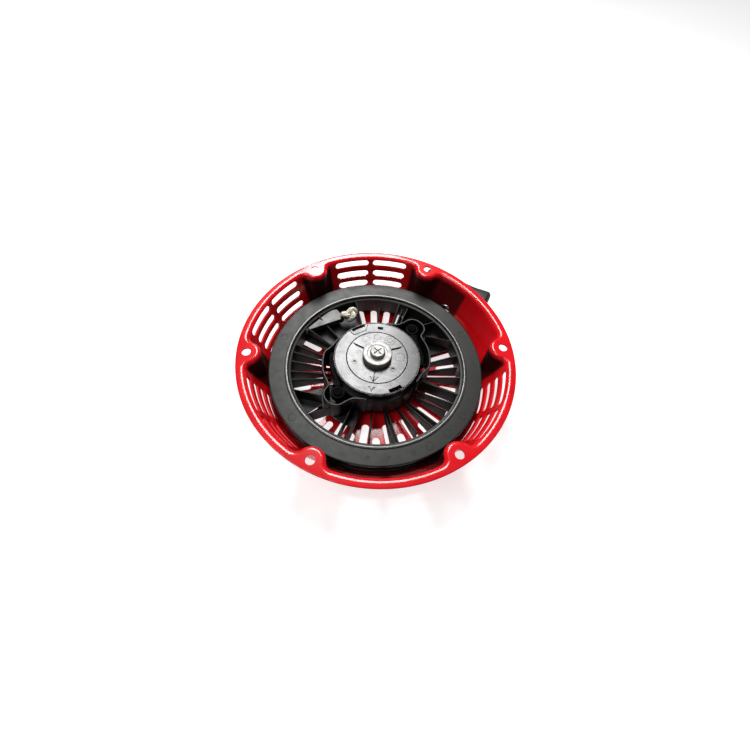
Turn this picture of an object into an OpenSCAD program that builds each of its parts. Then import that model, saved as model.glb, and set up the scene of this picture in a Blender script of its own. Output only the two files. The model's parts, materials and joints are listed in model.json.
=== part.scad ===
/* [Case] */
// Diameter of the bolt circle
bolt_pcd = 236; // [232:1:290]
// Number of bolt holes, and of lobes round them
bolt_count = 6; // [5:1:7]
// Diameter of a bolt hole
bolt_hole_d = 8; // [6:0.5:9]
// Width of flange outside the bolt circle
flange_edge = 9; // [7:0.5:14]
// Thickness of the drawn steel sheet
case_t = 1.6; // [1:0.1:2]
// Inside depth of the case, from the flange face to the floor
case_depth = 50; // [48:1:60]
// Draft of the side wall
wall_draft = 20; // [8:1:22]
// Gap in plan between the bolt circle and the foot of the flange bend
wall_gap = 1.3; // [0:0.1:3]
// Radius of the rounded corner between floor and wall
floor_corner_r = 8; // [5:0.5:10]
// Radius of the bend from the wall into the flange
rim_bend_r = 5; // [3:0.5:6]
// Radius of the half-round column below each bolt hole
lobe_r = 12.3; // [11:0.1:14]
// Radius that blends a column into the wall
lobe_fillet_r = 6.5; // [4:0.5:8]

/* [Air slots] */
// Height of a slot in the side wall
wall_slot_h = 6; // [4:0.5:7]
// Length of a slot in the side wall
wall_slot_len = 36; // [25:1:38]
// Number of slot rows, one above the other
wall_slot_rows = 4; // [2:1:4]
// Depth of the middle of the first row below the flange face
wall_slot_first = 6; // [5:0.5:8]
// Distance down from one row to the next
wall_slot_pitch = 10.6; // [8:0.1:11]
// Width of the steel left between the two columns of slots
wall_slot_web = 4.5; // [3:0.5:8]
// Number of radial slots in the floor
floor_slot_count = 36; // [24:2:40]
// Width of a floor slot
floor_slot_w = 7; // [4:0.5:7.5]
// Radius where the floor slots end
floor_slot_r_out = 89; // [80:1:90]
// Radius where the long floor slots start
floor_slot_r_long = 53; // [50:1:60]
// Radius where the short floor slots start
floor_slot_r_short = 65; // [60:1:75]

/* [Centre post] */
// Radius of the post that the reel turns on
post_r = 8; // [6:0.5:9]
// Radius of the post's welded foot
post_foot_r = 20; // [18:0.5:24]
// Thickness of the post's foot
post_foot_t = 2.4; // [1.5:0.1:3]
// Radius of the screw thread in the post
screw_r = 3; // [2:0.5:4]
// Radius of the centre screw's head
screw_head_r = 7; // [6:0.5:9]
// Height of the centre screw's head
screw_head_h = 3.4; // [2.5:0.1:5]

/* [Reel] */
// Gap in plan between the reel's upper flange and the columns of the case
reel_gap = 3.2; // [2.5:0.1:5]
// Depth of the ring's face below the flange face of the case
ring_depth = 23; // [21:0.5:24]
// Radius of the bottom of the rope groove
drum_r = 84; // [80:0.5:90]
// Thickness of the drum wall under the rope
drum_t = 3; // [2:0.5:4]
// Thickness of each flange of the rope groove
reel_flange_t = 3.2; // [2:0.2:4]
// Width of the rope groove
groove_w = 12.6; // [11:0.1:13]
// Width of the raised lip round the inside of the ring
lip_w = 3.4; // [2:0.1:5]
// Radius of the spring barrel in the middle of the reel
barrel_r = 41; // [38:0.5:43]
// Wall of the spring barrel
barrel_t = 2.6; // [2:0.1:4]
// Radius of the round well that surrounds the hub
well_r = 44; // [43:0.5:46]
// Wall of the well and of the pawl pockets
well_t = 2.5; // [2:0.1:3]
// How far the well is pushed out on the pawls' side
well_shift = 10; // [8:0.5:12]
// Radius of a pawl pocket
pocket_r = 11; // [10:0.5:12]
// Thickness of the reel's radial ribs
rib_t = 2; // [1.5:0.1:3]

/* [Ratchet] */
// Depth of the hub disc's face below the flange face of the case
disc_depth = 12; // [10:0.5:13]
// Radius of the ratchet guide, the outer ring of the hub disc
guide_r = 41; // [38:0.5:42]
// Radius of the friction plate, the inner disc
plate_r = 28.6; // [24:0.2:30]
// Thickness of the hub disc
disc_t = 3; // [2.5:0.1:4]
// Radius of the collar under the centre screw
collar_r = 13.8; // [11:0.2:15]
// Height of the collar
collar_h = 6.8; // [4:0.2:8]
// Thickness of a pawl
pawl_t = 5.5; // [4:0.1:6]
// Radius of a pawl's pivot pin
pawl_pin_r = 2.5; // [2:0.1:3]
// Radius of a pawl's pivot eye
pawl_eye_r = 6.5; // [5.5:0.1:7]
// Distance of a pawl's pivot from the axis
pivot_r = 51; // [50:0.5:53]
// Direction of the first pawl's pivot
pivot_a = 43; // [38:1:46]
// Direction of the first pawl's tip
pawl_tip_a = -12; // [-14:1:0]

/* [Rope and grip] */
// Diameter of the rope
rope_d = 5.6; // [4:0.2:5.8]
// Length of the grip's crossbar
grip_len = 76; // [70:1:110]
// Radius of the grip's crossbar
grip_r = 13; // [11:0.5:15.5]
// Radius of the grip's neck
neck_r = 8; // [7:0.5:9.5]

/* [Clearances] */
// Running clearance on radius of a shaft in its hole
run_gap = 0.06; // [0.02:0.01:0.1]
// Clearance between faces that pass each other
face_gap = 0.4; // [0.2:0.05:0.6]

/* [Hidden] */
$fn = 96;

eps = 0.01;
bolt_r = bolt_pcd / 2;
flange_r = bolt_r + flange_edge;
lobe_a = 360 / bolt_count;
lobe_seat_t = 0.3;
floor_z = -case_depth;

// Side wall: a cone of wall_draft, with a floor corner below and the flange bend above.
wall_r0 = bolt_r + wall_gap;
corner_z = floor_z + floor_corner_r;
corner_x = wall_r0 + tan(wall_draft) * (corner_z - floor_corner_r * sin(wall_draft))
           - floor_corner_r * cos(wall_draft);
bend_x = wall_r0 - tan(wall_draft) * rim_bend_r * (1 - sin(wall_draft))
         + rim_bend_r * cos(wall_draft);
function wall_in(z) = wall_r0 + tan(wall_draft) * z;
function arc(cx, cy, r, a0, a1, n) =
    [for (i = [0:n]) [cx + r * cos(a0 + (a1 - a0) * i / n), cy + r * sin(a0 + (a1 - a0) * i / n)]];
corner_steps = 5;
bend_steps = 4;
inner_line = concat([[0, floor_z]],
    arc(corner_x, corner_z, floor_corner_r, -90, -wall_draft, corner_steps),
    arc(bend_x, -rim_bend_r, rim_bend_r, 180 - wall_draft, 90, bend_steps));
outer_line = concat([[0, floor_z - case_t]],
    arc(corner_x, corner_z, floor_corner_r + case_t, -90, -wall_draft, corner_steps),
    arc(bend_x, -rim_bend_r, rim_bend_r - case_t, 180 - wall_draft, 90, bend_steps));
function reversed(v) = [for (i = [len(v) - 1:-1:0]) v[i]];

// Reel heights and the radius of its upper flange, the wide black ring
reel_r = bolt_r - lobe_r - reel_gap;
ring_z = -ring_depth;
groove_top_z = ring_z - reel_flange_t;
groove_low_z = groove_top_z - groove_w;
reel_low_z = groove_low_z - reel_flange_t;
rope_z = (groove_top_z + groove_low_z) / 2;
rope_r = rope_d / 2;
lip_r = drum_r + lip_w;
rim_in_r = drum_r - drum_t + 1;
web_top_z = ring_z - 1.4;

// Hub heights, from the disc's face downwards
disc_z = -disc_depth;
disc_low_z = disc_z - disc_t;
post_top_z = disc_z + 0.1;
pawl_z = disc_low_z - face_gap - pawl_t;
pawl_spring_wire = 1.1;
shelf_z = pawl_z - 2 * pawl_spring_wire - 2 * face_gap;
well_top_z = disc_low_z;
well_low_z = reel_low_z + 4;
well_floor_t = 2.4;
deck_t = 3;
deck_z = shelf_z - 1;
tube_r = post_r + 5.4;
bush_r = post_r + 2;
foot_z = floor_z + post_foot_t;
hub_low_z = foot_z + 1.6;
keeper_t = 0.8;
keeper_gap = 0.6;
tube_top_z = disc_low_z - 6;
washer_t = 1;
guide_step = 2;
sleeve_in = tube_r + face_gap;
sleeve_out = sleeve_in + 1.6;
spring_in_r = sleeve_out + 1;
spring_out_r = barrel_r - barrel_t - 1;
spring_turns = 7;
spring_steel_t = 0.9;
pivot = [pivot_r * cos(pivot_a), pivot_r * sin(pivot_a)];
shift_a = pivot_a - 21;
RIBS = [-112, -100, -84, -80, -67, -56, -52, -40, -33, -18, -4, 6, 52, 65, 69, 84, 102,
        133, 148, 162, 174, 186, 228, 240];

// Rope and grip, in a frame turned so that +X is the pull; the rope leaves pull_off to one side of the axis.
pull_a = 59;
pull_off = 31;
eye_in_x = sqrt(wall_in(rope_z) * wall_in(rope_z) - pull_off * pull_off) + 1;
eye_flange_t = 1.7;
eye_boss_x = eye_in_x + eye_flange_t;
eye_boss_len = 4.4;
eye_out_x = eye_boss_x + eye_boss_len + 2;
eye_barrel_r = rope_r + 2.8;
eye_lip_r = eye_barrel_r + 2;
neck_x = eye_out_x + face_gap;
neck_len = 8;
grip_x = neck_x + neck_len + grip_r;
insert_drop = 3;
insert_r = rope_d + 1.3;
insert_t = 1.2;
ROPE_ROUTE = [[71.6, -65.4], [76, -60.6], [80, -56.2], [84, -51.8], [88, -47.5], [92, -43.1],
    [95, -39.8], [98, -36.9], [101, -34.6], [104, -32.8], [107, -31.6], [110, -31.1],
    [113, -31], [119, -31], [125, -31], [131, -31]];
route_eye_x = 104;
knot_a = 111;
knot_place_r = 67;
knot_z = ring_z - 2;

// STARTER CASE

// Plan outline of a lobe: a nose of radius r about the bolt hole, blended by rf into a circle rw.
function lobe_turn(r, rf, rw) =
    acos((bolt_r * bolt_r + (rw - rf) * (rw - rf) - (r + rf) * (r + rf)) / (2 * bolt_r * (rw - rf)));
function lobe_side(r, rf, rw) = let (
    a = lobe_turn(r, rf, rw),
    c = [(rw - rf) * cos(a), (rw - rf) * sin(a)],
    back = atan2(-c[1], bolt_r - c[0]))
    arc(c[0], c[1], rf, a, back, 4);
module lobe_outline(r, rf, rw) {
    side = lobe_side(r, rf, rw);
    last = side[len(side) - 1];
    turn = atan2(last[1], last[0] - bolt_r);
    nose = arc(bolt_r, 0, r, turn, 360 - turn, 14);
    beyond = flange_r + 10;
    half = beyond * tan(lobe_turn(r, rf, rw));
    polygon(concat([[beyond, half]], side, [for (i = [1:len(nose) - 2]) nose[i]],
        [for (p = reversed(side)) [p[0], -p[1]]], [[beyond, -half]]));
}
module each_lobe() {
    for (i = [0:bolt_count - 1]) rotate([0, 0, i * lobe_a]) children();
}
// The room inside the case, without the columns that stand in it.
module case_room() {
    difference() {
        rotate_extrude() polygon(concat(inner_line, [[bend_x, 1], [0, 1]]));
        each_lobe() translate([0, 0, floor_z - case_t])
            linear_extrude(height = case_depth + case_t) lobe_outline(lobe_r, lobe_fillet_r, wall_r0);
    }
}
// The hollow outside of each column, up to the seat under the bolt.
module lobe_hollows() {
    each_lobe() translate([0, 0, floor_z - 2 * case_t])
        linear_extrude(height = case_depth + case_t - lobe_seat_t)
            lobe_outline(lobe_r - case_t, lobe_fillet_r + case_t, wall_r0 + case_t);
}
// A flat round-ended slot, as a prism along +Z.
module slot_prism(len, w, h) {
    run = len - w;
    linear_extrude(height = h) {
        square([run, w], center = true);
        translate([run / 2, 0]) circle(d = w, $fn = 32);
        translate([-run / 2, 0]) circle(d = w, $fn = 32);
    }
}
module wall_slots() {
    side = wall_slot_web / 2 + wall_slot_len / 2;
    for (sector = [1:bolt_count - 1])
        for (row = [0:wall_slot_rows - 1])
            for (hand = [-1, 1])
                rotate([0, 0, (sector + 0.5) * lobe_a])
                    translate([0, 0, -wall_slot_first - row * wall_slot_pitch])
                        rotate([0, 0, hand * side / wall_in(-wall_slot_first) * 180 / PI])
                            translate([wall_in(floor_z), 0, 0])
                                rotate([90, 0, 90])
                                    slot_prism(wall_slot_len - 2 * row, wall_slot_h, 60);
}
module floor_slots() {
    for (i = [0:floor_slot_count - 1]) {
        start = i % 2 == 1 ? floor_slot_r_long : floor_slot_r_short;
        rotate([0, 0, (i + 0.75) * 360 / floor_slot_count])
            translate([(start + floor_slot_r_out) / 2, 0, floor_z - 2 * case_t])
                slot_prism(floor_slot_r_out - start, floor_slot_w, 4 * case_t);
    }
}
module along_pull(x) {
    rotate([0, 0, pull_a]) translate([x, -pull_off, rope_z]) rotate([0, 90, 0]) children();
}
module starter_case() {
    color("red")
    difference() {
        union() {
            difference() {
                rotate_extrude()
                    polygon(concat(outer_line, [[flange_r, -case_t], [flange_r, 0], [0, 0]]));
                lobe_hollows();
                case_room();
            }
            difference() {
                along_pull(eye_boss_x - 1) cylinder(r = eye_lip_r + 2, h = eye_boss_len + 1);
                translate([0, 0, floor_z]) cylinder(r = reel_r + 2.4, h = case_depth);
            }
        }
        each_lobe() translate([bolt_r, 0, -2 * case_t]) cylinder(d = bolt_hole_d, h = 3 * case_t);
        wall_slots();
        floor_slots();
        along_pull(eye_boss_x - 12) cylinder(r = eye_barrel_r + run_gap, h = 30);
        along_pull(eye_in_x - 12) cylinder(r = eye_lip_r + face_gap, h = 12 + eye_flange_t);
        translate([0, 0, floor_z - 2 * case_t]) cylinder(r = post_r - 2, h = 4 * case_t);
    }
}
module rope_eyelet() {
    lip = eye_lip_r - 0.4;
    flare = 2;
    bore = rope_r + 0.5;
    len = eye_out_x - eye_in_x;
    color("dimgray")
    along_pull(eye_in_x)
        rotate_extrude() polygon(concat(
            arc(bore + flare, flare, flare, 270, 180, 5),
            arc(bore + flare, len - flare, flare, 180, 90, 5),
            [[lip, len], [lip, len - 2], [eye_barrel_r, len - 2],
             [eye_barrel_r, eye_flange_t], [lip, eye_flange_t], [lip, 0]]));
}

// CENTRE POST AND ITS SCREW

module centre_post() {
    spigot_r = post_r - 2 - run_gap;
    sleeve_h = 15;
    slit_w = 3;
    screw_hole_h = 20;
    color("silver")
    difference() {
        union() {
            translate([0, 0, floor_z]) cylinder(r = post_foot_r, h = post_foot_t);
            translate([0, 0, floor_z - case_t]) cylinder(r = spigot_r, h = case_t + 1);
            translate([0, 0, foot_z - eps]) cylinder(r = post_r, h = post_top_z - foot_z + eps);
            translate([0, 0, foot_z - eps]) difference() {
                cylinder(r = sleeve_out, h = sleeve_h);
                translate([0, 0, -1]) cylinder(r = sleeve_in, h = sleeve_h + 2);
                translate([0, -slit_w / 2, 4]) cube([sleeve_out + 2, slit_w, sleeve_h]);
            }
        }
        translate([0, 0, post_top_z - screw_hole_h]) cylinder(r = screw_r + run_gap, h = screw_hole_h + 1);
    }
}
module friction_collar() {
    edge = 1.2;
    top = disc_z + collar_h - post_top_z;
    color("dimgray")
    translate([0, 0, post_top_z]) rotate_extrude() polygon(concat(
        [[screw_r + run_gap, 0], [collar_r, 0]],
        arc(collar_r - edge, top - edge, edge, 0, 90, 4),
        [[screw_r + run_gap, top]]));
}
module centre_screw() {
    z = disc_z + collar_h;
    edge = 1.5;
    thread_len = 22;
    cross_len = 8;
    cross_w = 1.4;
    color("silver")
    difference() {
        union() {
            translate([0, 0, z]) rotate_extrude() polygon(concat([[0, 0], [screw_head_r, 0]],
                arc(screw_head_r - edge, screw_head_h - edge, edge, 0, 90, 4), [[0, screw_head_h]]));
            translate([0, 0, z - thread_len]) cylinder(r = screw_r, h = thread_len + eps);
        }
        for (turn = [0, 90]) rotate([0, 0, turn])
            translate([-cross_len / 2, -cross_w / 2, z + 1]) cube([cross_len, cross_w, screw_head_h]);
    }
}
module thrust_washer() {
    color("gray")
    translate([0, 0, tube_top_z + 0.05]) difference() {
        cylinder(r = tube_r, h = washer_t);
        translate([0, 0, -1]) cylinder(r = post_r + run_gap, h = washer_t + 2);
    }
}

// REEL

module well_plan(grow) {
    circle(r = well_r + grow);
    for (turn = [0, 180]) rotate([0, 0, turn]) {
        translate([well_shift * cos(shift_a), well_shift * sin(shift_a)]) circle(r = well_r - 2 + grow);
        translate(pivot) circle(r = pocket_r + grow);
    }
}
module well_prism(grow, z0, z1) {
    translate([0, 0, z0]) linear_extrude(height = z1 - z0) well_plan(grow);
}
// A piece of a ring between two directions, cut out of a full ring by a wedge.
module ring_band(r0, r1, z0, z1, a0, a1) {
    far = 2 * r1;
    mid = (a0 + a1) / 2;
    intersection() {
        translate([0, 0, z0]) difference() {
            cylinder(r = r1, h = z1 - z0);
            translate([0, 0, -1]) cylinder(r = r0, h = z1 - z0 + 2);
        }
        translate([0, 0, z0 - 1]) linear_extrude(height = z1 - z0 + 2)
            polygon([[0, 0], [far * cos(a0), far * sin(a0)], [far * cos(mid), far * sin(mid)],
                [far * cos(a1), far * sin(a1)]]);
    }
}
module rib(a) {
    inner = well_r + 3;
    rib_low_z = reel_low_z + 1;
    rib_drop = 13;
    rotate([0, 0, a]) translate([0, rib_t / 2, 0]) rotate([90, 0, 0]) linear_extrude(height = rib_t)
        polygon([[inner, rib_low_z], [rim_in_r, rib_low_z], [rim_in_r, ring_z - 1],
            [inner, ring_z - rib_drop]]);
}
// An upright wall between two points given by radius and direction.
module web(r0, a0, r1, a1, z0, z1) {
    from = [r0 * cos(a0), r0 * sin(a0)];
    way = [r1 * cos(a1), r1 * sin(a1)] - from;
    translate([from[0], from[1], z0]) rotate([0, 0, atan2(way[1], way[0])])
        translate([0, -rib_t / 2, 0]) cube([norm(way), rib_t, z1 - z0]);
}
// The floor plate outside a pawl pocket, and the two walls that tie the pocket to the rim.
module pocket_webs() {
    ring_band(pivot_r, rim_in_r, well_low_z, well_low_z + well_floor_t, pivot_a - 26, pivot_a + 21);
    web(pivot_r + 8.4, pivot_a - 8.2, rim_in_r, pivot_a - 25, well_low_z + eps, web_top_z);
    web(pivot_r + 9.5, pivot_a + 3.8, rim_in_r, pivot_a - 4.7, well_low_z + eps, web_top_z);
}
// The two shelves that the rope's knot and end lie on.
module rope_anchor() {
    shelf_t = 3;
    shelf_top = knot_z - 2 - rope_d - face_gap;
    ring_band(well_r + 6, rim_in_r, shelf_top - shelf_t, shelf_top, knot_a - 11, knot_a + 15);
    ring_band(rim_in_r - 10, rim_in_r, shelf_top - 0.5, shelf_top + 2, knot_a + 7, knot_a + 39);
}
module reel_rim() {
    rotate_extrude() polygon([
        [drum_r - drum_t, reel_low_z], [reel_r - 1.5, reel_low_z], [reel_r - 1.5, groove_low_z],
        [drum_r, groove_low_z], [drum_r, groove_top_z], [reel_r, groove_top_z],
        [reel_r, ring_z - 0.8], [reel_r - 0.8, ring_z], [lip_r, ring_z], [lip_r - 0.6, ring_z + 1],
        [drum_r - drum_t + 0.8, ring_z + 1], [drum_r - drum_t, ring_z + 0.2]]);
}
module reel_hub() {
    translate([0, 0, hub_low_z]) cylinder(r = barrel_r, h = deck_z - hub_low_z);
    translate([0, 0, hub_low_z]) cylinder(r = tube_r, h = tube_top_z - hub_low_z);
}
module rope_reel() {
    color([0.10, 0.10, 0.11])
    difference() {
        union() {
            reel_rim();
            difference() {
                union() {
                    well_prism(well_t, well_low_z, well_top_z);
                    for (a = RIBS) rib(a);
                    for (turn = [0, 180]) rotate([0, 0, turn]) pocket_webs();
                    rope_anchor();
                }
                well_prism(0, well_low_z + well_floor_t, well_top_z + 1);
                translate([0, 0, well_low_z - 10]) cylinder(r = barrel_r - 1, h = 60);
            }
            for (turn = [0, 180]) rotate([0, 0, turn]) translate([pivot[0], pivot[1], well_low_z])
                cylinder(r = pocket_r + 0.5, h = shelf_z - well_low_z);
            reel_hub();
        }
        translate([0, 0, hub_low_z - 1]) difference() {
            cylinder(r = barrel_r - barrel_t, h = deck_z - deck_t - hub_low_z + 1);
            cylinder(r = tube_r, h = 60);
        }
        translate([0, 0, hub_low_z - 1]) cylinder(r = sleeve_out + face_gap, h = 16.5);
        translate([0, 0, hub_low_z - 2]) cylinder(r = bush_r, h = 60);
        for (turn = [0, 180]) rotate([0, 0, turn]) translate([pivot[0], pivot[1], well_low_z - 1])
            cylinder(r = pawl_pin_r + run_gap / 2, h = 40);
        rotate([0, 0, 148]) translate([drum_r, 0, rope_z]) rotate([0, -90, -50])
            translate([0, 0, -14]) cylinder(r = rope_r + 0.6, h = 28);
    }
}
module reel_bushing() {
    color("goldenrod")
    translate([0, 0, hub_low_z + 1]) difference() {
        cylinder(r = bush_r - 0.02, h = tube_top_z - hub_low_z - 1);
        translate([0, 0, -1]) cylinder(r = post_r + run_gap, h = 60);
    }
}
function spiral(k, off) = let (
    f = k / (spring_turns * 24),
    r = spring_in_r + 1 + (spring_out_r - spring_in_r - 2.5) * f + off)
    [r * cos(15 * k), r * sin(15 * k)];
module recoil_spring() {
    count = spring_turns * 24;
    color("slategray")
    translate([0, 0, hub_low_z + 1.5]) linear_extrude(height = 14)
        polygon(concat([for (k = [0:count]) spiral(k, 0)],
            [for (k = [count:-1:0]) spiral(k, spring_steel_t)]));
}
module spring_keeper() {
    color("darkgray")
    translate([0, 0, hub_low_z - keeper_t]) difference() {
        cylinder(r = barrel_r - 0.5, h = keeper_t - 0.02);
        translate([0, 0, -1]) cylinder(r = sleeve_out + keeper_gap, h = keeper_t + 2);
    }
}
module rope_winding() {
    low = groove_low_z + 0.3;
    high = groove_top_z - 0.3;
    outside = norm(ROPE_ROUTE[0]) - rope_r - 0.2;
    inside = drum_r + 0.1;
    edge = 3;
    color("ivory")
    rotate_extrude() polygon(concat([[inside, low]], arc(outside - edge, low + edge, edge, 270, 360, 4),
        arc(outside - edge, high - edge, edge, 0, 90, 4), [[inside, high]]));
}
module rope_knot() {
    color("ivory")
    rotate([0, 0, knot_a]) translate([knot_place_r, 0, knot_z - 2]) {
        sphere(r = rope_d);
        translate([1.5, 5, 0.4]) sphere(r = 0.85 * rope_d);
        translate([-1.5, -5, -0.4]) sphere(r = 0.8 * rope_d);
    }
}

// RATCHET

module pawl_pin(turn) {
    color("silver")
    rotate([0, 0, turn]) translate([pivot[0], pivot[1], 0]) {
        translate([0, 0, well_low_z + 2]) cylinder(r = pawl_pin_r, h = disc_low_z - well_low_z - 2);
        translate([0, 0, disc_low_z]) cylinder(r = pawl_pin_r + 1.5, h = 1);
    }
}
module pawl_pin_a() { pawl_pin(0); }
module pawl_pin_b() { pawl_pin(180); }
module pawl_spring(turn) {
    wire = pawl_spring_wire;
    color("lightsteelblue")
    rotate([0, 0, turn]) translate([pivot[0], pivot[1], shelf_z + face_gap / 2]) union() {
        for (k = [0, 1]) translate([0, 0, wire / 2 + k * (wire - 0.1)])
            rotate_extrude() translate([pawl_pin_r + 1.2, 0]) circle(d = wire, $fn = 16);
        translate([pawl_pin_r + 1.2, -6, wire / 2]) rotate([-90, 0, 0]) cylinder(d = wire, h = 6, $fn = 16);
    }
}
module pawl_spring_a() { pawl_spring(0); }
module pawl_spring_b() { pawl_spring(180); }
module pawl(turn) {
    inner = guide_r - 0.5;
    outer = well_r + 1.2;
    color("gray")
    rotate([0, 0, turn]) difference() {
        union() {
            ring_band(inner, outer, pawl_z, pawl_z + pawl_t, pawl_tip_a, pivot_a - 3);
            translate([pivot[0], pivot[1], pawl_z]) cylinder(r = pawl_eye_r, h = pawl_t);
        }
        translate([pivot[0], pivot[1], pawl_z - 1]) cylinder(r = pawl_pin_r + run_gap, h = pawl_t + 2);
    }
}
module pawl_a() { pawl(0); }
module pawl_b() { pawl(180); }
module ratchet_guide() {
    low = disc_low_z - guide_step;
    color([0.16, 0.16, 0.17])
    difference() {
        union() {
            rotate_extrude() polygon([[post_r + run_gap, low], [plate_r + 3, low],
                [plate_r + 3, disc_low_z], [guide_r, disc_low_z], [guide_r, disc_z - 0.8],
                [guide_r - 0.8, disc_z], [plate_r + 0.3, disc_z], [plate_r + 0.3, disc_low_z + 0.1],
                [post_r + run_gap, disc_low_z + 0.1]]);
            for (turn = [0, 180]) rotate([0, 0, turn])
                ring_band(plate_r + 4, guide_r - 3, pawl_z + 1, disc_low_z + eps, 60, 78);
        }
        for (a = [100, 280]) ring_band(guide_r - 4, guide_r + 1, disc_low_z - 1, disc_z + 1, a, a + 28);
    }
}
module friction_plate() {
    color([0.22, 0.22, 0.23])
    difference() {
        translate([0, 0, disc_low_z + 0.12]) cylinder(r = plate_r, h = disc_t - 0.12);
        translate([0, 0, disc_low_z - 1]) cylinder(r = post_r + run_gap, h = disc_t + 2);
        for (a = [23, 143, 262]) rotate([0, 0, a])
            translate([collar_r + 0.5, -0.5, disc_z - 0.6]) cube([plate_r - collar_r - 2, 1, 1]);
    }
}
module friction_spring() {
    wire = 1.2;
    z0 = tube_top_z + washer_t + 0.1;
    z1 = disc_low_z - guide_step - 0.1;
    turns = 2;
    color("lightsteelblue")
    for (k = [0:turns]) translate([0, 0, z0 + wire / 2 + k * (z1 - z0 - wire) / turns])
        rotate_extrude() translate([post_r + 2.6, 0]) circle(d = wire, $fn = 16);
}

// ROPE AND GRIP

function unit(v) = v / norm(v);
// The route stretches between the winding and the eyelet when the case is made wider.
function route_at(i) = let (p = ROPE_ROUTE[i], from = ROPE_ROUTE[0][0])
    [p[0] + (eye_in_x - 103.9) * min(1, (p[0] - from) / (route_eye_x - from)), p[1]];
function route_way(i) = let (n = len(ROPE_ROUTE) - 1)
    unit(route_at(min(i + 1, n)) - route_at(max(i - 1, 0)));
rope_sides = 10;
function route_ring(i) = let (d = route_way(i), p = route_at(i)) [for (k = [0:rope_sides - 1])
    let (c = rope_r * cos(360 * k / rope_sides), s = rope_r * sin(360 * k / rope_sides))
        [p[0] - d[1] * c, p[1] + d[0] * c, s]];
module rope_run() {
    n = len(ROPE_ROUTE);
    m = rope_sides;
    color("ivory")
    rotate([0, 0, pull_a]) translate([0, 0, rope_z]) polyhedron(
        points = [for (i = [0:n - 1]) each route_ring(i)],
        faces = concat([[for (k = [0:m - 1]) k]],
            [for (i = [0:n - 2], k = [0:m - 1])
                [i * m + k, (i + 1) * m + k, (i + 1) * m + (k + 1) % m, i * m + (k + 1) % m]],
            [[for (k = [m - 1:-1:0]) (n - 1) * m + k]]));
}
module grip_hollow() {
    along_pull(neck_x - 1) cylinder(r = rope_r + 0.4, h = grip_x - neck_x);
    along_pull(grip_x - insert_drop) cylinder(r = insert_r + 0.1, h = grip_r + 2 * insert_drop);
}
module grip() {
    half = grip_len / 2;
    edge = 5;
    side = grip_r - edge - 0.5;
    color([0.08, 0.08, 0.08])
    difference() {
        union() {
            rotate([0, 0, pull_a]) translate([grip_x, -pull_off, rope_z]) rotate([90, 0, 0])
                rotate_extrude() polygon(concat([[0, -half]],
                    arc(side, edge - half, edge, -90, 0, 5), [[grip_r, 0]],
                    arc(side, half - edge, edge, 0, 90, 5), [[0, half]]));
            along_pull(neck_x) cylinder(r1 = neck_r, r2 = neck_r + 1.5, h = neck_len + 4);
        }
        grip_hollow();
    }
}
module grip_insert() {
    color("silver")
    along_pull(grip_x - insert_drop) difference() {
        cylinder(r = insert_r, h = insert_t);
        translate([0, 0, -1]) cylinder(r = rope_r + 0.1, h = insert_t + 2);
    }
}
module grip_knot() {
    knot_r = rope_d - 0.2;
    color("ivory")
    along_pull(grip_x - insert_drop + insert_t + 0.1 + knot_r) sphere(r = knot_r);
}

starter_case();
rope_eyelet();
centre_post();
friction_collar();
centre_screw();
rope_reel();
reel_bushing();
recoil_spring();
spring_keeper();
rope_winding();
rope_knot();
pawl_pin_a();
pawl_pin_b();
pawl_spring_a();
pawl_spring_b();
thrust_washer();
ratchet_guide();
friction_plate();
friction_spring();
pawl_a();
pawl_b();
rope_run();
grip();
grip_insert();
grip_knot();
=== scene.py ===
# %% [markdown]
# # A recoil starter for a small engine
# The starter is a pressed steel case with a rope reel inside it. A pull on the grip turns the reel,
# two steel pawls swing out of the hub and take the engine with them, and a flat spring winds the rope
# back in. The starter lies on its front face, so the open side that bolts to the engine looks up.
# The lesson builds its looks round a packed mechanical model, which stays in place as the frame.

# %% Open the frame
import json
import math

import bmesh
import bpy
import numpy as np
from mathutils import Matrix, Vector


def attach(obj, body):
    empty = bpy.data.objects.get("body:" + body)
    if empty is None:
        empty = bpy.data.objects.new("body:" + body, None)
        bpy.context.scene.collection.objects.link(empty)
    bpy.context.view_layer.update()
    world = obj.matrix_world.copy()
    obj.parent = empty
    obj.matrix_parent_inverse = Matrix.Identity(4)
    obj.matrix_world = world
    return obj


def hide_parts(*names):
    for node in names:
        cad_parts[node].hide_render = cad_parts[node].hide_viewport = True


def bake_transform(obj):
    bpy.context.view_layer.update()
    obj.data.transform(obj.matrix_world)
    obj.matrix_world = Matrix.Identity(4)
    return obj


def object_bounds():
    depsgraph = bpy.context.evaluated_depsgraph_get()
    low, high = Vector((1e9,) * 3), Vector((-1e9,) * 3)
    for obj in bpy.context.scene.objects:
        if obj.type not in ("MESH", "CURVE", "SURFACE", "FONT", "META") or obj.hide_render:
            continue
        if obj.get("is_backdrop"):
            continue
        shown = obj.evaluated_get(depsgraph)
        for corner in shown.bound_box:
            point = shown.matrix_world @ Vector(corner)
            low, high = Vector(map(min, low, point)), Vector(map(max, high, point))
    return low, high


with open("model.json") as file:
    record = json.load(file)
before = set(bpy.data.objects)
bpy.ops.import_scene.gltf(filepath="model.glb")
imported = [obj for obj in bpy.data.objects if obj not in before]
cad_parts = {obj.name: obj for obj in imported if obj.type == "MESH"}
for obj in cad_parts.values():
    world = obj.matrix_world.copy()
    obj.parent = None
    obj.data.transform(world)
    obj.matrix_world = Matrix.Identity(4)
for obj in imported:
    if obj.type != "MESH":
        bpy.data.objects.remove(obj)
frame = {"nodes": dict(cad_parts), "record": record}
cad_box = [list(corner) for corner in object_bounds()]
MM = 0.001

# %% [markdown]
# ## The camera
# The starter is seen from the near side and well above it, with a slight roll to the right. The lens is
# short and close, so the near rim is larger than the far one.

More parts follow.
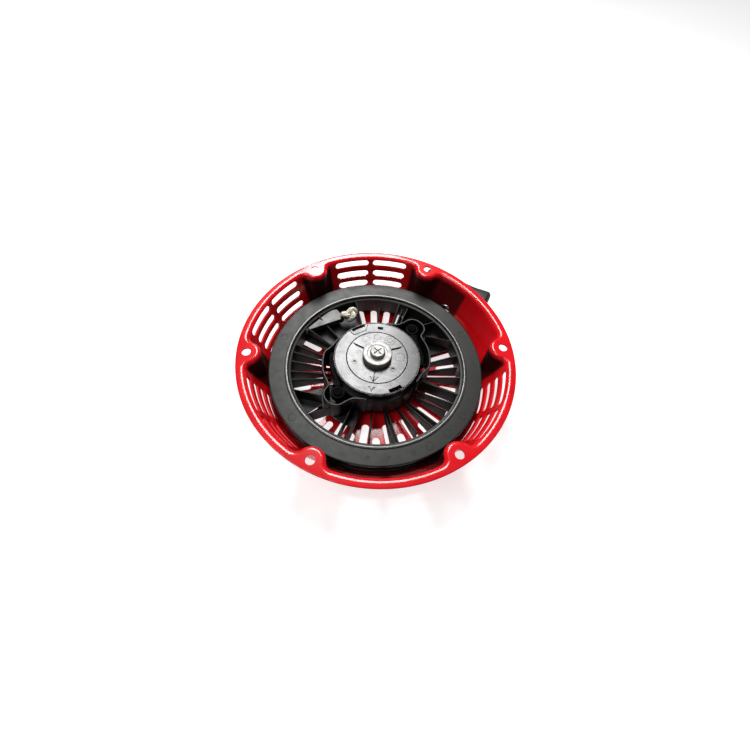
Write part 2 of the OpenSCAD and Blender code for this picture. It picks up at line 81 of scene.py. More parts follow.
# %% Camera
AZIMUTH, ELEVATION, ROLL = (math.radians(a) for a in (-8.79, 58.87, 6.33))
CAMERA_PLACE = Vector((-0.03188, -0.20533, 0.29878))
LENS = 19.05


def camera_axes(azimuth, elevation, roll):
    """Right, up and back directions of a camera that looks down at elevation and is rolled about its line."""
    back = Vector((math.sin(azimuth) * math.cos(elevation), -math.cos(azimuth) * math.cos(elevation),
                   math.sin(elevation)))
    level = (-back).cross(Vector((0, 0, 1))).normalized()
    upright = level.cross(-back)
    right = math.cos(roll) * level + math.sin(roll) * upright
    up = math.cos(roll) * upright - math.sin(roll) * level
    return right, up, back


camera_data = bpy.data.cameras.new("camera")
camera_data.lens, camera_data.sensor_width, camera_data.clip_start = LENS, 36.0, 0.01
camera = bpy.data.objects.new("camera", camera_data)
axes = Matrix([list(axis) for axis in camera_axes(AZIMUTH, ELEVATION, ROLL)]).transposed()
camera.matrix_world = Matrix.Translation(CAMERA_PLACE) @ axes.to_4x4()
bpy.context.scene.collection.objects.link(camera)
bpy.context.scene.camera = camera
print("camera at", [round(c, 3) for c in CAMERA_PLACE], "m")

# %% [markdown]
# ## Shader maths as plain expressions
# A finish is a small program of nodes. Wiring every Math node by hand hides what it computes, so one
# class wraps a socket and lets + - and * add the Math node, in either order of number and socket.
# Everything that isn't plain maths comes from one method, which takes a node's type, its settings and
# the values or links of its sockets.

# %% A number that changes over the surface
class Number:
    """A socket that carries a number; an expression on it adds Math nodes to its finish."""

    def __init__(self, finish, socket):
        self.finish, self.socket = finish, socket

    def _maths(self, operation, first, second):
        return self.finish.node("ShaderNodeMath", {"operation": operation}, {0: first, 1: second})

    def __add__(self, other):
        return self._maths("ADD", self, other)

    def __sub__(self, other):
        return self._maths("SUBTRACT", self, other)

    def __rsub__(self, other):
        return self._maths("SUBTRACT", other, self)

    def __mul__(self, other):
        return self._maths("MULTIPLY", self, other)

    __radd__, __rmul__ = __add__, __mul__


print("numbers: + - * add Math nodes")

# %% A finish
class Finish:
    """A material with one Principled shader. Constants go on the shader's own sockets."""

    def __init__(self, name, **constants):
        self.material = bpy.data.materials.new(name)
        self.material.use_nodes = True
        self.tree = self.material.node_tree
        self.tree.nodes.clear()
        self.shader = self.tree.nodes.new("ShaderNodeBsdfPrincipled")
        out = self.tree.nodes.new("ShaderNodeOutputMaterial")
        self.tree.links.new(self.shader.outputs[0], out.inputs["Surface"])
        self.place = self.node("ShaderNodeTexCoord", {}, {}, "Object")
        self.set(**constants)

    def node(self, kind, settings, inputs, output=0):
        """Adds a node: its settings first, a ramp's stops among them, then its sockets."""
        made = self.tree.nodes.new(kind)
        for name, value in settings.items():
            if name == "stops":
                while len(made.color_ramp.elements) < len(value):
                    made.color_ramp.elements.new(0.5)
                for element, (position, colour) in zip(made.color_ramp.elements, value):
                    element.position, element.color = position, colour
            else:
                setattr(made, name, value)
        for name, value in inputs.items():
            self._feed(made.inputs[name], value)
        return Number(self, made.outputs[output])

    def _feed(self, socket, value):
        if isinstance(value, Number):
            self.tree.links.new(value.socket, socket)
        elif value is not None:
            socket.default_value = value

    def set(self, **sockets):
        """Feeds sockets of the shader, named with underscores for spaces."""
        for name, value in sockets.items():
            self._feed(self.shader.inputs[name.replace("_", " ").title().replace("Ior", "IOR")], value)

    def noise(self, scale, detail=4.0, roughness=0.55, vector=None):
        """Soft random patches; scale is how many there are in a metre."""
        return self.node("ShaderNodeTexNoise", {}, {"Vector": vector or self.place, "Scale": scale,
                                                    "Detail": detail, "Roughness": roughness}, "Fac")

    def between(self, value, low, high, to_low=0.0, to_high=1.0):
        """value's stretch from low to high becomes to_low to to_high, and is held at both ends."""
        return self.node("ShaderNodeMapRange", {"clamp": True},
                         {"Value": value, "From Min": low, "From Max": high, "To Min": to_low,
                          "To Max": to_high})

    def mix(self, share, first, second):
        """A colour that goes from first to second as share goes from 0 to 1."""
        return self.node("ShaderNodeMix", {"data_type": "RGBA"}, {0: share, 6: first, 7: second}, 2)

    def bump(self, height, distance, strength=1.0, edge=0.0):
        """Relief from a height, over edges that are rounded by edge metres."""
        normal = self.node("ShaderNodeBevel", {"samples": 4}, {"Radius": edge}) if edge else None
        self.set(normal=self.node("ShaderNodeBump", {}, {"Height": height, "Distance": distance,
                                                         "Strength": strength, "Normal": normal}))


def hand_over(obj, finish):
    """Gives a piece its finish, in every slot it has."""
    obj.data.materials.clear()
    obj.data.materials.append(finish.material)
    return obj


print("shader tools ready")

# %% [markdown]
# ## The finishes
# The case is stoved red enamel over steel: deep saturated red, a clear gloss, a faint orange-peel
# ripple and a few dull rubbed patches. Everything black is moulded glass-filled nylon, a dark satin
# with a fine grain. The rope is undyed braid, and the small hardware is zinc-plated steel.

# %% Red enamel
# near-black colour of the shade painted on the inside of the case
PAINTED_SHADE_COLOUR = (0.0060, 0.0022, 0.0022, 1)


def enamel():
    """Red that varies in patches and grime, and painted shade, near black, rougher and with little coat,
    where the case's shade share is 1.
    """
    f = Finish("case_paint", metallic=0.0, coat_roughness=0.13, specular_ior_level=0.12)
    patches = f.noise(28.0, 3.0)
    grime = f.between(f.noise(90.0, 6.0, 0.7), 0.52, 0.75)
    red = f.mix(f.between(patches, 0.35, 0.7), (0.60, 0.0035, 0.008, 1), (0.72, 0.0055, 0.012, 1))
    shade_share = f.node("ShaderNodeAttribute", {"attribute_name": "bare_primer"}, {}, "Fac")
    worn_red = f.mix(grime * 0.25, red, (0.20, 0.002, 0.004, 1))
    # painted shade: the case's shade share turns the red near black, rougher and with little coat
    f.set(base_color=f.mix(shade_share * (0.94 + grime * 0.06), worn_red, PAINTED_SHADE_COLOUR),
          roughness=f.between(patches, 0.3, 0.7, 0.26, 0.36) + grime * 0.12 + shade_share * 0.2,
          coat_weight=0.8 - shade_share * 0.65)
    f.bump(f.noise(900.0, 2.0) + f.noise(240.0, 2.0) * 0.6, 0.00004, 0.5, 0.0005)
    return f


print("enamel recipe ready")

# %% [markdown]
# Moulded nylon shows the grain of its mould, slow clouds of colour and dust in its hollows. Three noises
# of different sizes give those, and the Bevel node rounds every edge in the shading alone.

# %% Moulded black nylon
def nylon(name, base, gloss, edge=0.0004, shine=0.5, dusty=0.35):
    """base is the darkest tone, gloss the middle roughness, shine the specular level, and dusty how grey
    the dust on it is."""
    f = Finish(name, metallic=0.0, specular_ior_level=shine)
    cloud = f.noise(35.0, 5.0, 0.6)
    dust = f.between(f.noise(420.0, 8.0, 0.75), 0.55, 0.8)
    flow = f.noise(130.0, 4.0, 0.6)
    light = tuple(c * 1.9 for c in base[:3]) + (1,)
    tone = f.mix(f.between(cloud, 0.35, 0.7), base, light)
    f.set(base_color=f.mix(dust * dusty, tone, (0.09, 0.09, 0.085, 1)),
          roughness=f.between(flow, 0.3, 0.7, gloss - 0.06, gloss + 0.08) + dust * 0.15)
    f.bump(f.noise(2600.0, 3.0) + flow * 0.4, 0.00003, 0.6, edge)
    return f


print("nylon recipe ready")

# %% [markdown]
# Metal needs little more than a tint and a roughness, but new metal looks false. So a stretched noise
# brushes it, and a slow one lays dull patches on it.

# %% Plated and bare metal
def metal(name, base, gloss, tarnish, edge=0.00025):
    """base is the clean metal and tarnish the colour of its dull patches."""
    f = Finish(name, metallic=1.0)
    worn = f.between(f.noise(160.0, 6.0, 0.65), 0.42, 0.68)
    stretch = f.node("ShaderNodeMapping", {}, {"Vector": f.place, "Scale": (1.0, 1.0, 6.0)})
    brushed = f.noise(900.0, 3.0, 0.6, stretch)
    f.set(base_color=f.mix(worn * 0.6, base, tarnish),
          roughness=f.between(brushed, 0.3, 0.7, gloss - 0.06, gloss + 0.08) + worn * 0.12)
    f.bump(brushed, 0.00002, 0.5, edge)
    return f


print("metal recipe ready")

# %% [markdown]
# A braid is two sets of strands that cross. A texture in space would slide off a bent rope, so the pattern
# reads the UV map that the rope's tube carries along its own length and turn.

# %% Rope braid, by the piece's own length and turn
def braid(name="rope_fibre"):
    """Two families of strands cross at equal and opposite slopes; the height is their raised middles."""
    f = Finish(name, metallic=0.0, sheen_weight=0.3, sheen_roughness=0.5, specular_ior_level=0.3)
    along = f.node("ShaderNodeUVMap", {}, {})
    parts = f.node("ShaderNodeSeparateXYZ", {}, {"Vector": along}, "X")
    around = Number(f, parts.socket.node.outputs["Y"])
    strands = [f.node("ShaderNodeMath", {"operation": "SINE"}, {0: (parts + around * sign) * (2 * math.pi)})
               for sign in (1.0, -1.0)]
    weave = f.node("ShaderNodeMath", {"operation": "MAXIMUM"}, {0: strands[0], 1: strands[1]})
    fuzz = f.noise(1800.0, 4.0, 0.7)
    soil = f.between(f.noise(60.0, 5.0, 0.6), 0.4, 0.75)
    # painted shade: the braid's colour darkens between the strands' raised middles
    cream_and_hollow_shade = f.mix(f.between(weave, -0.2, 1.0), (0.42, 0.38, 0.29, 1), (0.88, 0.83, 0.70, 1))
    f.set(base_color=f.mix(soil * 0.45, cream_and_hollow_shade, (0.26, 0.23, 0.18, 1)),
          roughness=f.between(fuzz, 0.3, 0.7, 0.78, 0.92))
    f.bump(weave * 0.7 + fuzz * 0.5, 0.0004, 0.8)
    return f


print("braid recipe ready")

# %% Every finish, and the frame's own nodes dressed in them
finishes = {
    "case_paint": enamel(),
    "reel_plastic": nylon("reel_plastic", (0.0040, 0.0040, 0.0037, 1), 0.50, shine=0.36, dusty=0.10),
    "rim_plastic": nylon("rim_plastic", (0.0080, 0.0082, 0.0072, 1), 0.44, shine=0.32, dusty=0.2),
    # painted highlight: the bead's base is lighter than the rest of the reel, to brighten the line along it;
    # its lower roughness is not painted
    "bead_highlight_plastic": nylon("bead_highlight_plastic", (0.024, 0.024, 0.022, 1), 0.30, shine=0.6, dusty=0.4),
    "guide_plastic": nylon("guide_plastic", (0.020, 0.020, 0.019, 1), 0.26, shine=0.5),
    "plate_plastic": nylon("plate_plastic", (0.024, 0.024, 0.023, 1), 0.25, shine=0.55),
    "anchor_plastic": nylon("anchor_plastic", (0.030, 0.030, 0.026, 1), 0.42),
    "grip_plastic": nylon("grip_plastic", (0.010, 0.010, 0.010, 1), 0.45),
    "eyelet_steel": metal("eyelet_steel", (0.34, 0.33, 0.32, 1), 0.32, (0.16, 0.14, 0.12, 1)),
    "post_steel": metal("post_steel", (0.60, 0.59, 0.56, 1), 0.30, (0.30, 0.27, 0.22, 1)),
    "collar_steel": metal("collar_steel", (0.42, 0.415, 0.40, 1), 0.60, (0.26, 0.255, 0.245, 1)),
    "screw_steel": metal("screw_steel", (0.32, 0.315, 0.30, 1), 0.52, (0.17, 0.165, 0.155, 1)),
    "bushing_bronze": metal("bushing_bronze", (0.62, 0.40, 0.18, 1), 0.35, (0.30, 0.19, 0.09, 1)),
    "spring_steel": metal("spring_steel", (0.36, 0.37, 0.40, 1), 0.28, (0.16, 0.15, 0.15, 1)),
    "keeper_steel": metal("keeper_steel", (0.52, 0.52, 0.50, 1), 0.33, (0.26, 0.25, 0.22, 1)),
    # painted shade: pin_steel is coloured near black, as the shade of the pocket it sits in, not the steel's
    # own tone
    "pin_steel": metal("pin_steel", (0.0040, 0.0040, 0.0040, 1), 0.70, (0.002, 0.002, 0.002, 1)),
    "wire_steel": metal("wire_steel", (0.50, 0.50, 0.50, 1), 0.28, (0.24, 0.23, 0.22, 1)),
    "washer_steel": metal("washer_steel", (0.55, 0.55, 0.53, 1), 0.32, (0.28, 0.27, 0.25, 1)),
    # painted shade: pawl_steel is coloured near black, as the shade of the pocket it sits in, not the steel's
    # own tone
    "pawl_steel": metal("pawl_steel", (0.0055, 0.0055, 0.0055, 1), 0.62, (0.003, 0.003, 0.003, 1)),
    "rope_fibre": braid(),
}
slot_of = {s["node"]: s["material_slot"] for s in frame["record"]["subparts"]}
for name, node in frame["nodes"].items():
    hand_over(node, finishes[slot_of[name]])
print("finishes:", len(finishes))

# %% [markdown]
# ## Surfaces from arrays
# A shape here is a grid of points, worked out for all its points at once. Rows run along one parameter
# and columns along the other; either can close on itself.

# %% Grid to mesh
def grid_piece(name, points, close_rows=False, close_columns=True, uv=None, smooth_angle=35.0):
    """points is rows x columns x 3 in metres. Quad (i, j) joins rows i, i+1 and columns j, j+1."""
    rows, columns = points.shape[:2]
    i = np.arange(rows if close_rows else rows - 1)[:, None]
    j = np.arange(columns if close_columns else columns - 1)[None, :]
    corner = lambda a, b: (a % rows) * columns + (b % columns)
    quads = np.stack(np.broadcast_arrays(corner(i, j), corner(i, j + 1), corner(i + 1, j + 1),
                                         corner(i + 1, j)), -1)
    mesh = bpy.data.meshes.new(name)
    mesh.from_pydata(points.reshape(-1, 3), [], quads.reshape(-1, 4))
    mesh.polygons.foreach_set("use_smooth", np.ones(len(mesh.polygons), bool))
    if uv is not None:
        layer = mesh.uv_layers.new(name="along")
        ends = np.stack([np.stack(np.broadcast_arrays(uv[0](a), uv[1](b)), -1) for a, b in
                         ((i, j), (i, j + 1), (i + 1, j + 1), (i + 1, j))], -2)
        layer.data.foreach_set("uv", ends.astype(np.float32).ravel())
    mesh.update()
    mesh.set_sharp_from_angle(angle=math.radians(smooth_angle))
    obj = bpy.data.objects.new(name, mesh)
    bpy.context.scene.collection.objects.link(obj)
    return obj


print("grid tool ready")

# %% Facing, modifiers and shading
def faces_outward(obj):
    """Turns every face of a closed piece to look outwards."""
    work = bmesh.new()
    work.from_mesh(obj.data)
    bmesh.ops.remove_doubles(work, verts=work.verts, dist=1e-7)
    bmesh.ops.recalc_face_normals(work, faces=work.faces)
    work.to_mesh(obj.data)
    work.free()
    obj.data.update()
    return obj


def apply_modifiers(obj):
    """Replaces a piece's mesh by what its modifiers make of it."""
    graph = bpy.context.evaluated_depsgraph_get()
    made = bpy.data.meshes.new_from_object(obj.evaluated_get(graph))
    obj.modifiers.clear()
    obj.data = made
    return obj


def even_shading(obj):
    """Lets the large flat faces rule the shading, so a flat face next to a rounded edge stays flat."""
    weighted = obj.modifiers.new("even_shading", "WEIGHTED_NORMAL")
    weighted.keep_sharp, weighted.weight = True, 80
    return obj


print("surface tools ready")

# %% [markdown]
# ## The pressed case
# The case is one sheet of steel, drawn down in a press. Its plan outline is a circle that steps inward
# round each of the six bolt holes, and the sheet keeps one thickness while the outline changes with
# depth: the wall slopes in, the half-round columns stand straight and die into it, and every corner is
# a bend. Cutting a solid can't give those running bends, so the sheet is drawn as a family of outlines,
# one for each depth, which are joined row by row into a closed skin.

# %% Values of the case, in mm
CASE = dict(bolt_r=118.0, hole_r=4.0, flange_r=127.0, sheet=1.6, depth=50.0, draft=math.radians(20),
            wall_r=119.3, corner_r=8.0, bend_r=5.0, lobe_r=12.3, fillet_r=6.5, lobe_bend_r=3.6)
LOBES = 6
HALF_POINTS = 56
print("case:", 2 * CASE["flange_r"], "mm across,", CASE["depth"] + CASE["sheet"], "mm deep")

# %% One outline
def plan_outline(wall, nose, fillet):
    """Half an outline from a column's tip to mid wall, for arrays of wall, nose and fillet radii.
    It is an arc of the nose about the bolt, a fillet tangent to both circles, and an arc of the wall,
    sampled at equal steps of length. Where the wall lies inside the nose, the first two have no length."""
    wall, nose, fillet = (np.asarray(v, float)[:, None] for v in (wall, nose, fillet))
    bolt = CASE["bolt_r"]
    reach = wall - fillet
    turn = np.arccos(np.clip((bolt ** 2 + reach ** 2 - (nose + fillet) ** 2) / (2 * bolt * reach), -1, 1))
    turn = np.where(wall > bolt - nose, turn, 0.0)
    fx, fy = reach * np.cos(turn), reach * np.sin(turn)
    swing = np.where(turn > 0, np.arctan2(fy, bolt - fx), 0.0)
    lengths = [nose * swing, fillet * (swing + turn), wall * (math.pi / LOBES - turn)]
    s = sum(lengths) * np.linspace(0, 1, HALF_POINTS)[None, :]
    a1 = math.pi - s / nose
    a2 = -swing + (s - lengths[0]) / fillet
    a3 = turn + (s - lengths[0] - lengths[1]) / wall
    on_nose, on_fillet = s < lengths[0], s <= lengths[0] + lengths[1]
    x = np.where(on_nose, bolt + nose * np.cos(a1),
                 np.where(on_fillet, fx + fillet * np.cos(a2), wall * np.cos(a3)))
    y = np.where(on_nose, nose * np.sin(a1), np.where(on_fillet, fy + fillet * np.sin(a2),
                                                      wall * np.sin(a3)))
    return x, y


def whole_outline(wall, nose, fillet, z):
    """The half outlines, mirrored and turned to all six lobes, at heights z: rows x columns x 3, in mm."""
    x, y = plan_outline(wall, nose, fillet)
    angle, radius = np.arctan2(y, x), np.hypot(x, y)
    pitch = 2 * math.pi / LOBES
    angle = np.hstack([angle, pitch - angle[:, -2:0:-1]])
    radius = np.hstack([radius, radius[:, -2:0:-1]])
    turns = np.repeat(np.arange(LOBES) * pitch, angle.shape[1])[None, :]
    angle, radius = np.tile(angle, LOBES) + turns, np.tile(radius, LOBES)
    height = np.broadcast_to(np.asarray(z, float)[:, None], angle.shape)
    return np.stack([radius * np.cos(angle), radius * np.sin(angle), height], -1)


print("points round one outline:", 2 * LOBES * (HALF_POINTS - 1))

# %% The rows of the sheet, inside or outside
FLOOR_HOLE_R = 6.0
def bend(z, centre_z, radius):
    """How far a quarter bend of that radius has moved away from its straight side at height z."""
    return radius - np.sqrt(np.clip(radius ** 2 - np.clip(z - centre_z, 0, radius) ** 2, 0, None))


def sheet_rows(outside):
    """Wall, nose and fillet radii and heights of one face of the sheet, from the floor hole to the flange."""
    c, t = CASE, CASE["sheet"] if outside else 0.0
    tan, cos, sin = math.tan(c["draft"]), math.cos(c["draft"]), math.sin(c["draft"])
    corner_z = c["corner_r"] - c["depth"]
    corner_x = c["wall_r"] + tan * (corner_z - c["corner_r"] * sin) - c["corner_r"] * cos
    bend_x = c["wall_r"] - tan * c["bend_r"] * (1 - sin) + c["bend_r"] * cos
    floor = np.stack([np.linspace(FLOOR_HOLE_R, corner_x, 9)[:-1], np.full(8, -c["depth"] - t)], -1)
    a = np.radians(np.linspace(-90, -20, 8))
    corner = np.stack([corner_x + (c["corner_r"] + t) * np.cos(a),
                       corner_z + (c["corner_r"] + t) * np.sin(a)], -1)
    a = math.pi - c["draft"] - np.linspace(0, math.pi / 2 - c["draft"], 9)
    top = np.stack([bend_x + (c["bend_r"] - t) * np.cos(a), -c["bend_r"] + (c["bend_r"] - t) * np.sin(a)],
                   -1)
    wall = corner[-1] + (top[0] - corner[-1]) * np.linspace(0, 1, 15)[1:-1, None]
    line = np.vstack([floor, corner, wall, top])
    nose_bend = bend(line[:, 1], -c["lobe_bend_r"], c["lobe_bend_r"] - t)
    return line[:, 0], c["lobe_r"] - t - nose_bend, c["fillet_r"] + t + nose_bend, line[:, 1]


print("rows of one face:", len(sheet_rows(False)[0]))

# %% The skin
def smooth_step(value, low, high):
    """0 below low, 1 above high, and 3t^2 - 2t^3 between."""
    t = np.clip((value - low) / (high - low), 0, 1)
    return t * t * (3 - 2 * t)


def case_skin():
    """The sheet's two faces, and the flange with its half-round edge between them, as one closed grid."""
    inner, outer = (whole_outline(*sheet_rows(side)) for side in (False, True))
    t = CASE["sheet"]
    a = 2 * math.pi * np.arange(inner.shape[1]) / inner.shape[1]
    edge = np.radians(np.linspace(90, -90, 7))
    ring = lambda r, z: np.stack([r * np.cos(a), r * np.sin(a), np.full(len(a), z)], -1)
    rim = [ring(CASE["flange_r"] - t / 2 + t / 2 * math.cos(e), -t / 2 + t / 2 * math.sin(e)) for e in edge]
    land = [inner[-1] * (1 - k) + rim[0] * k for k in (0.3, 0.65)]
    under = [rim[-1] * (1 - k) + outer[-1] * k for k in (0.35, 0.7)]
    return np.stack(list(inner) + land + rim + under + list(outer[::-1]))


case = grid_piece("case_shell", case_skin() * MM, close_rows=True)
faces_outward(case)
print("case skin:", len(case.data.polygons), "faces")

# %% [markdown]
# The slots and holes are punched after drawing, so here they are cut from the skin with one Boolean.
# Every punch is a straight prism with a round-ended or round outline.

# %% Punches
def round_ended(length, width, steps=10):
    """Outline of a slot: two half circles of that width, their centres length minus width apart."""
    a = np.linspace(-math.pi / 2, math.pi / 2, steps + 1)
    cap = np.stack([np.cos(a), np.sin(a)], -1) * width / 2
    shift = np.array([(length - width) / 2, 0.0])
    return np.vstack([cap + shift, -cap - shift])


def punch(outline, place, across, up, depth):
    """A prism: outline's two directions are across and up, and it runs depth along their cross product."""
    across, up = np.asarray(across, float), np.asarray(up, float)
    flat = np.asarray(place, float) + outline[:, :1] * across + outline[:, 1:] * up
    return np.stack([flat, flat + np.cross(across, up) * depth])


def joined_prisms(name, prisms):
    """All prisms as one mesh of closed shells; the two ends of each are single faces."""
    points, faces = [], []
    for prism in prisms:
        start, n = sum(len(p) for p in points), prism.shape[1]
        points.append(prism.reshape(-1, 3))
        faces += [[start + k for k in range(n)][::-1], [start + n + k for k in range(n)]]
        faces += [[start + k, start + (k + 1) % n, start + n + (k + 1) % n,
                   start + n + k] for k in range(n)]
    mesh = bpy.data.meshes.new(name)
    mesh.from_pydata(np.vstack(points) * MM, [], faces)
    obj = bpy.data.objects.new(name, mesh)
    bpy.context.scene.collection.objects.link(obj)
    return faces_outward(obj)


def polar(radius, degrees, z):
    """A point (radius cos, radius sin, z)."""
    return np.array([radius * math.cos(math.radians(degrees)), radius * math.sin(math.radians(degrees)), z])


def cut(obj, cutter, operation="DIFFERENCE"):
    """Cuts cutter out of obj, or merges it into obj, and removes it."""
    boolean = obj.modifiers.new("cut", "BOOLEAN")
    boolean.operation, boolean.object, boolean.solver = operation, cutter, "MANIFOLD"
    apply_modifiers(obj)
    bpy.data.objects.remove(cutter)
    return obj


print("punch tools ready")

# %% [markdown]
# Five of the six wall sectors have four rows of paired air slots, which get shorter as the wall narrows.
# The sixth is left whole for the rope. The floor has 36 slots that start on two circles by turns.

# %% Cut the slots and holes
WALL_SLOT = dict(length=36, shorter=2, width=6, first_z=-6, pitch_z=10.6, middle=2.25 + 18.0, at_r=117.1)
FLOOR_SLOT = dict(count=36, starts=(53, 65), end=89, width=7)
punches = []
for sector in range(1, LOBES):
    for row in range(4):
        for hand in (-1, 1):
            w = WALL_SLOT
            middle = (sector + 0.5) * 60 + hand * math.degrees(w["middle"] / w["at_r"])
            place = polar(96, middle, w["first_z"] - w["pitch_z"] * row)
            outline = round_ended(w["length"] - w["shorter"] * row, w["width"])
            punches.append(punch(outline, place, polar(1, middle + 90, 0), (0, 0, 1), 50))
for i in range(FLOOR_SLOT["count"]):
    start, end = FLOOR_SLOT["starts"][1 - i % 2], FLOOR_SLOT["end"]
    direction = (i + 0.75) * 360 / FLOOR_SLOT["count"]
    punches.append(punch(round_ended(end - start, FLOOR_SLOT["width"]),
                         polar((start + end) / 2, direction, -56),
                         polar(1, direction, 0), polar(1, direction + 90, 0), 10))
circle = lambda radius, steps=40: np.stack([np.cos(2 * math.pi * np.arange(steps) / steps),
                                            np.sin(2 * math.pi * np.arange(steps) / steps)], -1) * radius
for i in range(LOBES):
    punches.append(punch(circle(CASE["hole_r"]), polar(CASE["bolt_r"], i * 60, -8), (1, 0, 0), (0, 1, 0),
                         20))
cut(case, joined_prisms("punches", punches))
case.data.polygons.foreach_set("use_smooth", np.ones(len(case.data.polygons), bool))
case.data.set_sharp_from_angle(angle=math.radians(30))
print("punches:", len(punches))

# %% [markdown]
# The inside is dark in places where shade falls, and here that shade is painted into the enamel's colour. A
# texture can't know which face of the sheet it is on, so the share of painted shade is worked out for every
# vertex from its place and normal, and kept as an attribute that the enamel reads.

# %% Where the shade is painted
def painted_shade_share(points, normals):
    """How much shade is painted into the red, from 0 to 1, at points in mm: all over the columns' inner
    sides, beside the rope's exit, and low on the wall opposite to it. A point is on the inner face of
    the sheet where its normal looks to the axis, or away from the middle of the nearest column."""
    x, y, z = points.T
    degrees = np.degrees(np.arctan2(y, x))
    from_lobe = (degrees + 30) % 60 - 30
    radial = (normals[:, 0] * x + normals[:, 1] * y) / np.hypot(x, y)
    around = (normals[:, 1] * x - normals[:, 0] * y) / np.hypot(x, y)
    inner = around * np.sign(from_lobe) - radial > 0.05
    lit_side = smooth_step(degrees, 0.5, 2.5) * (1 - smooth_step(degrees, 16, 18))
    columns = (1 - smooth_step(np.abs(from_lobe), 7.4, 8.8)) * smooth_step(-z, 2.6, 5.0) * (1 - lit_side)
    beside_exit = smooth_step(degrees, 34.6, 36.2) * (1 - smooth_step(degrees, 57, 60))
    beside_exit = beside_exit * smooth_step(-z, 2.6, 5.5) * 0.93
    near_wall = smooth_step(degrees, -122, -118) * (1 - smooth_step(degrees, -62, -58))
    near_wall = near_wall * smooth_step(-z, 3.5, 7.0) * 0.9
    return np.maximum.reduce([columns, beside_exit, near_wall]) * inner * (z > -49)


def point_values(mesh, name):
    """A vector of every vertex of a mesh, as rows."""
    flat = np.empty(len(mesh.vertices) * 3, np.float32)
    mesh.vertices.foreach_get(name, flat)
    return flat.reshape(-1, 3).astype(float)


# painted shade: its share for every vertex, kept as an attribute that the enamel reads
layer = case.data.attributes.new("bare_primer", "FLOAT", "POINT")
share = painted_shade_share(point_values(case.data, "co") / MM, point_values(case.data, "normal"))
layer.data.foreach_set("value", share.astype(np.float32))
even_shading(hand_over(case, finishes["case_paint"]))
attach(case, "housing")
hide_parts("starter_case")
print("case:", len(case.data.polygons), "faces after punching")

# %% [markdown]
# ## The rope
# A rope is a tube carried along a path. Its rings stand square to the path, and the UV map runs along
# and around it, so that the braid follows every bend.

# %% Tube along a path
def tube(name, path, radius, sides=12, turns_per_metre=120.0, closed=False):
    """Circles of that radius, square to the path. The first side starts level, or towards +X where the
    path is upright."""
    path = np.asarray(path, float)
    ahead = np.roll(path, -1, 0) - np.roll(path, 1, 0)
    if not closed:
        ahead[0], ahead[-1] = path[1] - path[0], path[-1] - path[-2]
    ahead /= np.linalg.norm(ahead, axis=1)[:, None]
    level = np.cross(ahead, [0, 0, 1.0])
    level = np.where(np.linalg.norm(level, axis=1)[:, None] > 0.05, level, [1.0, 0, 0])
    level /= np.linalg.norm(level, axis=1)[:, None]
    upward = np.cross(level, ahead)
    a = 2 * math.pi * np.arange(sides) / sides
    rings = path[:, None] + radius * (np.cos(a)[None, :, None] * level[:, None]
                                      + np.sin(a)[None, :, None] * upward[:, None])
    steps = np.linalg.norm(np.diff(path, axis=0), axis=1)
    along = np.concatenate([[0], np.cumsum(steps), [0]]) * turns_per_metre
    uv = (lambda i: along[i], lambda j: 4.0 * j / sides)
    obj = grid_piece(name, rings, close_rows=closed, uv=uv, smooth_angle=80)
    if not closed:
        cap_ends(obj, len(path), sides)
    return obj


def cap_ends(obj, rows, sides):
    """Closes the first and last ring of a tube with one face each."""
    work = bmesh.new()
    work.from_mesh(obj.data)
    work.verts.ensure_lookup_table()
    work.faces.new([work.verts[k] for k in range(sides)][::-1])
    work.faces.new([work.verts[(rows - 1) * sides + k] for k in range(sides)])
    bmesh.ops.recalc_face_normals(work, faces=work.faces)
    work.to_mesh(obj.data)
    work.free()


print("tube tool ready")

# %% Smooth paths
def smooth_path(points, steps):
    """A Catmull-Rom curve through the points, with that many steps between each two."""
    p = np.vstack([2 * points[0] - points[1], points, 2 * points[-1] - points[-2]])
    t = np.linspace(0, 1, steps, endpoint=False)[None, :, None]
    a, b, c, d = (p[k:len(p) - 3 + k, None] for k in range(4))
    curve = 0.5 * (2 * b + (c - a) * t + (2 * a - 5 * b + 4 * c - d) * t ** 2
                   + (3 * b - a - 3 * c + d) * t ** 3)
    return np.vstack([curve.reshape(-1, points.shape[1]), points[-1:]])


print("smooth path tool ready")

# %% The stretch from the reel to the grip
PULL = math.radians(59)
ROPE_R, ROPE_Z = 2.8, -32.5
EXIT_Y = -31
ROUTE = [(71.6, -65.4), (76, -60.6), (80, -56.2), (84, -51.8), (88, -47.5), (92, -43.1), (95, -39.8),
         (98, -36.9),
         (101, -34.6), (104, -32.8), (107, -31.6), (110, -31.1), (113, -31), (119, -31), (125, -31),
         (131, -31)]


def from_pull(points):
    """Points whose X is the pull direction, turned into the starter's own frame."""
    p = np.asarray(points, float)
    c, s = math.cos(PULL), math.sin(PULL)
    return np.stack([p[..., 0] * c - p[..., 1] * s, p[..., 0] * s + p[..., 1] * c, p[..., 2]], -1)


def on_rope(distance):
    """The place on the rope's straight stretch that is this far along the pull."""
    return from_pull((distance, EXIT_Y, ROPE_Z))


route = smooth_path(np.array([(x, y, ROPE_Z) for x, y in ROUTE], float), 6)
rope = tube("rope_stretch", from_pull(route) * MM, ROPE_R * MM)
hand_over(rope, finishes["rope_fibre"])
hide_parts("rope_run")
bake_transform(rope)
print("rope stretch:", len(rope.data.polygons), "faces")

# %% [markdown]
# ## Turned and swept parts
# Most of what is left was moulded or turned: rims, drums, discs, collars. A turned part is one closed
# profile carried round the axis. Sharp corners of moulded parts are never sharp, so each corner of a
# profile names its own rounding. Ribs and pocket walls are a second family: a thin upright wall with a
# round top, carried along a line in plan, whose height may change on the way.

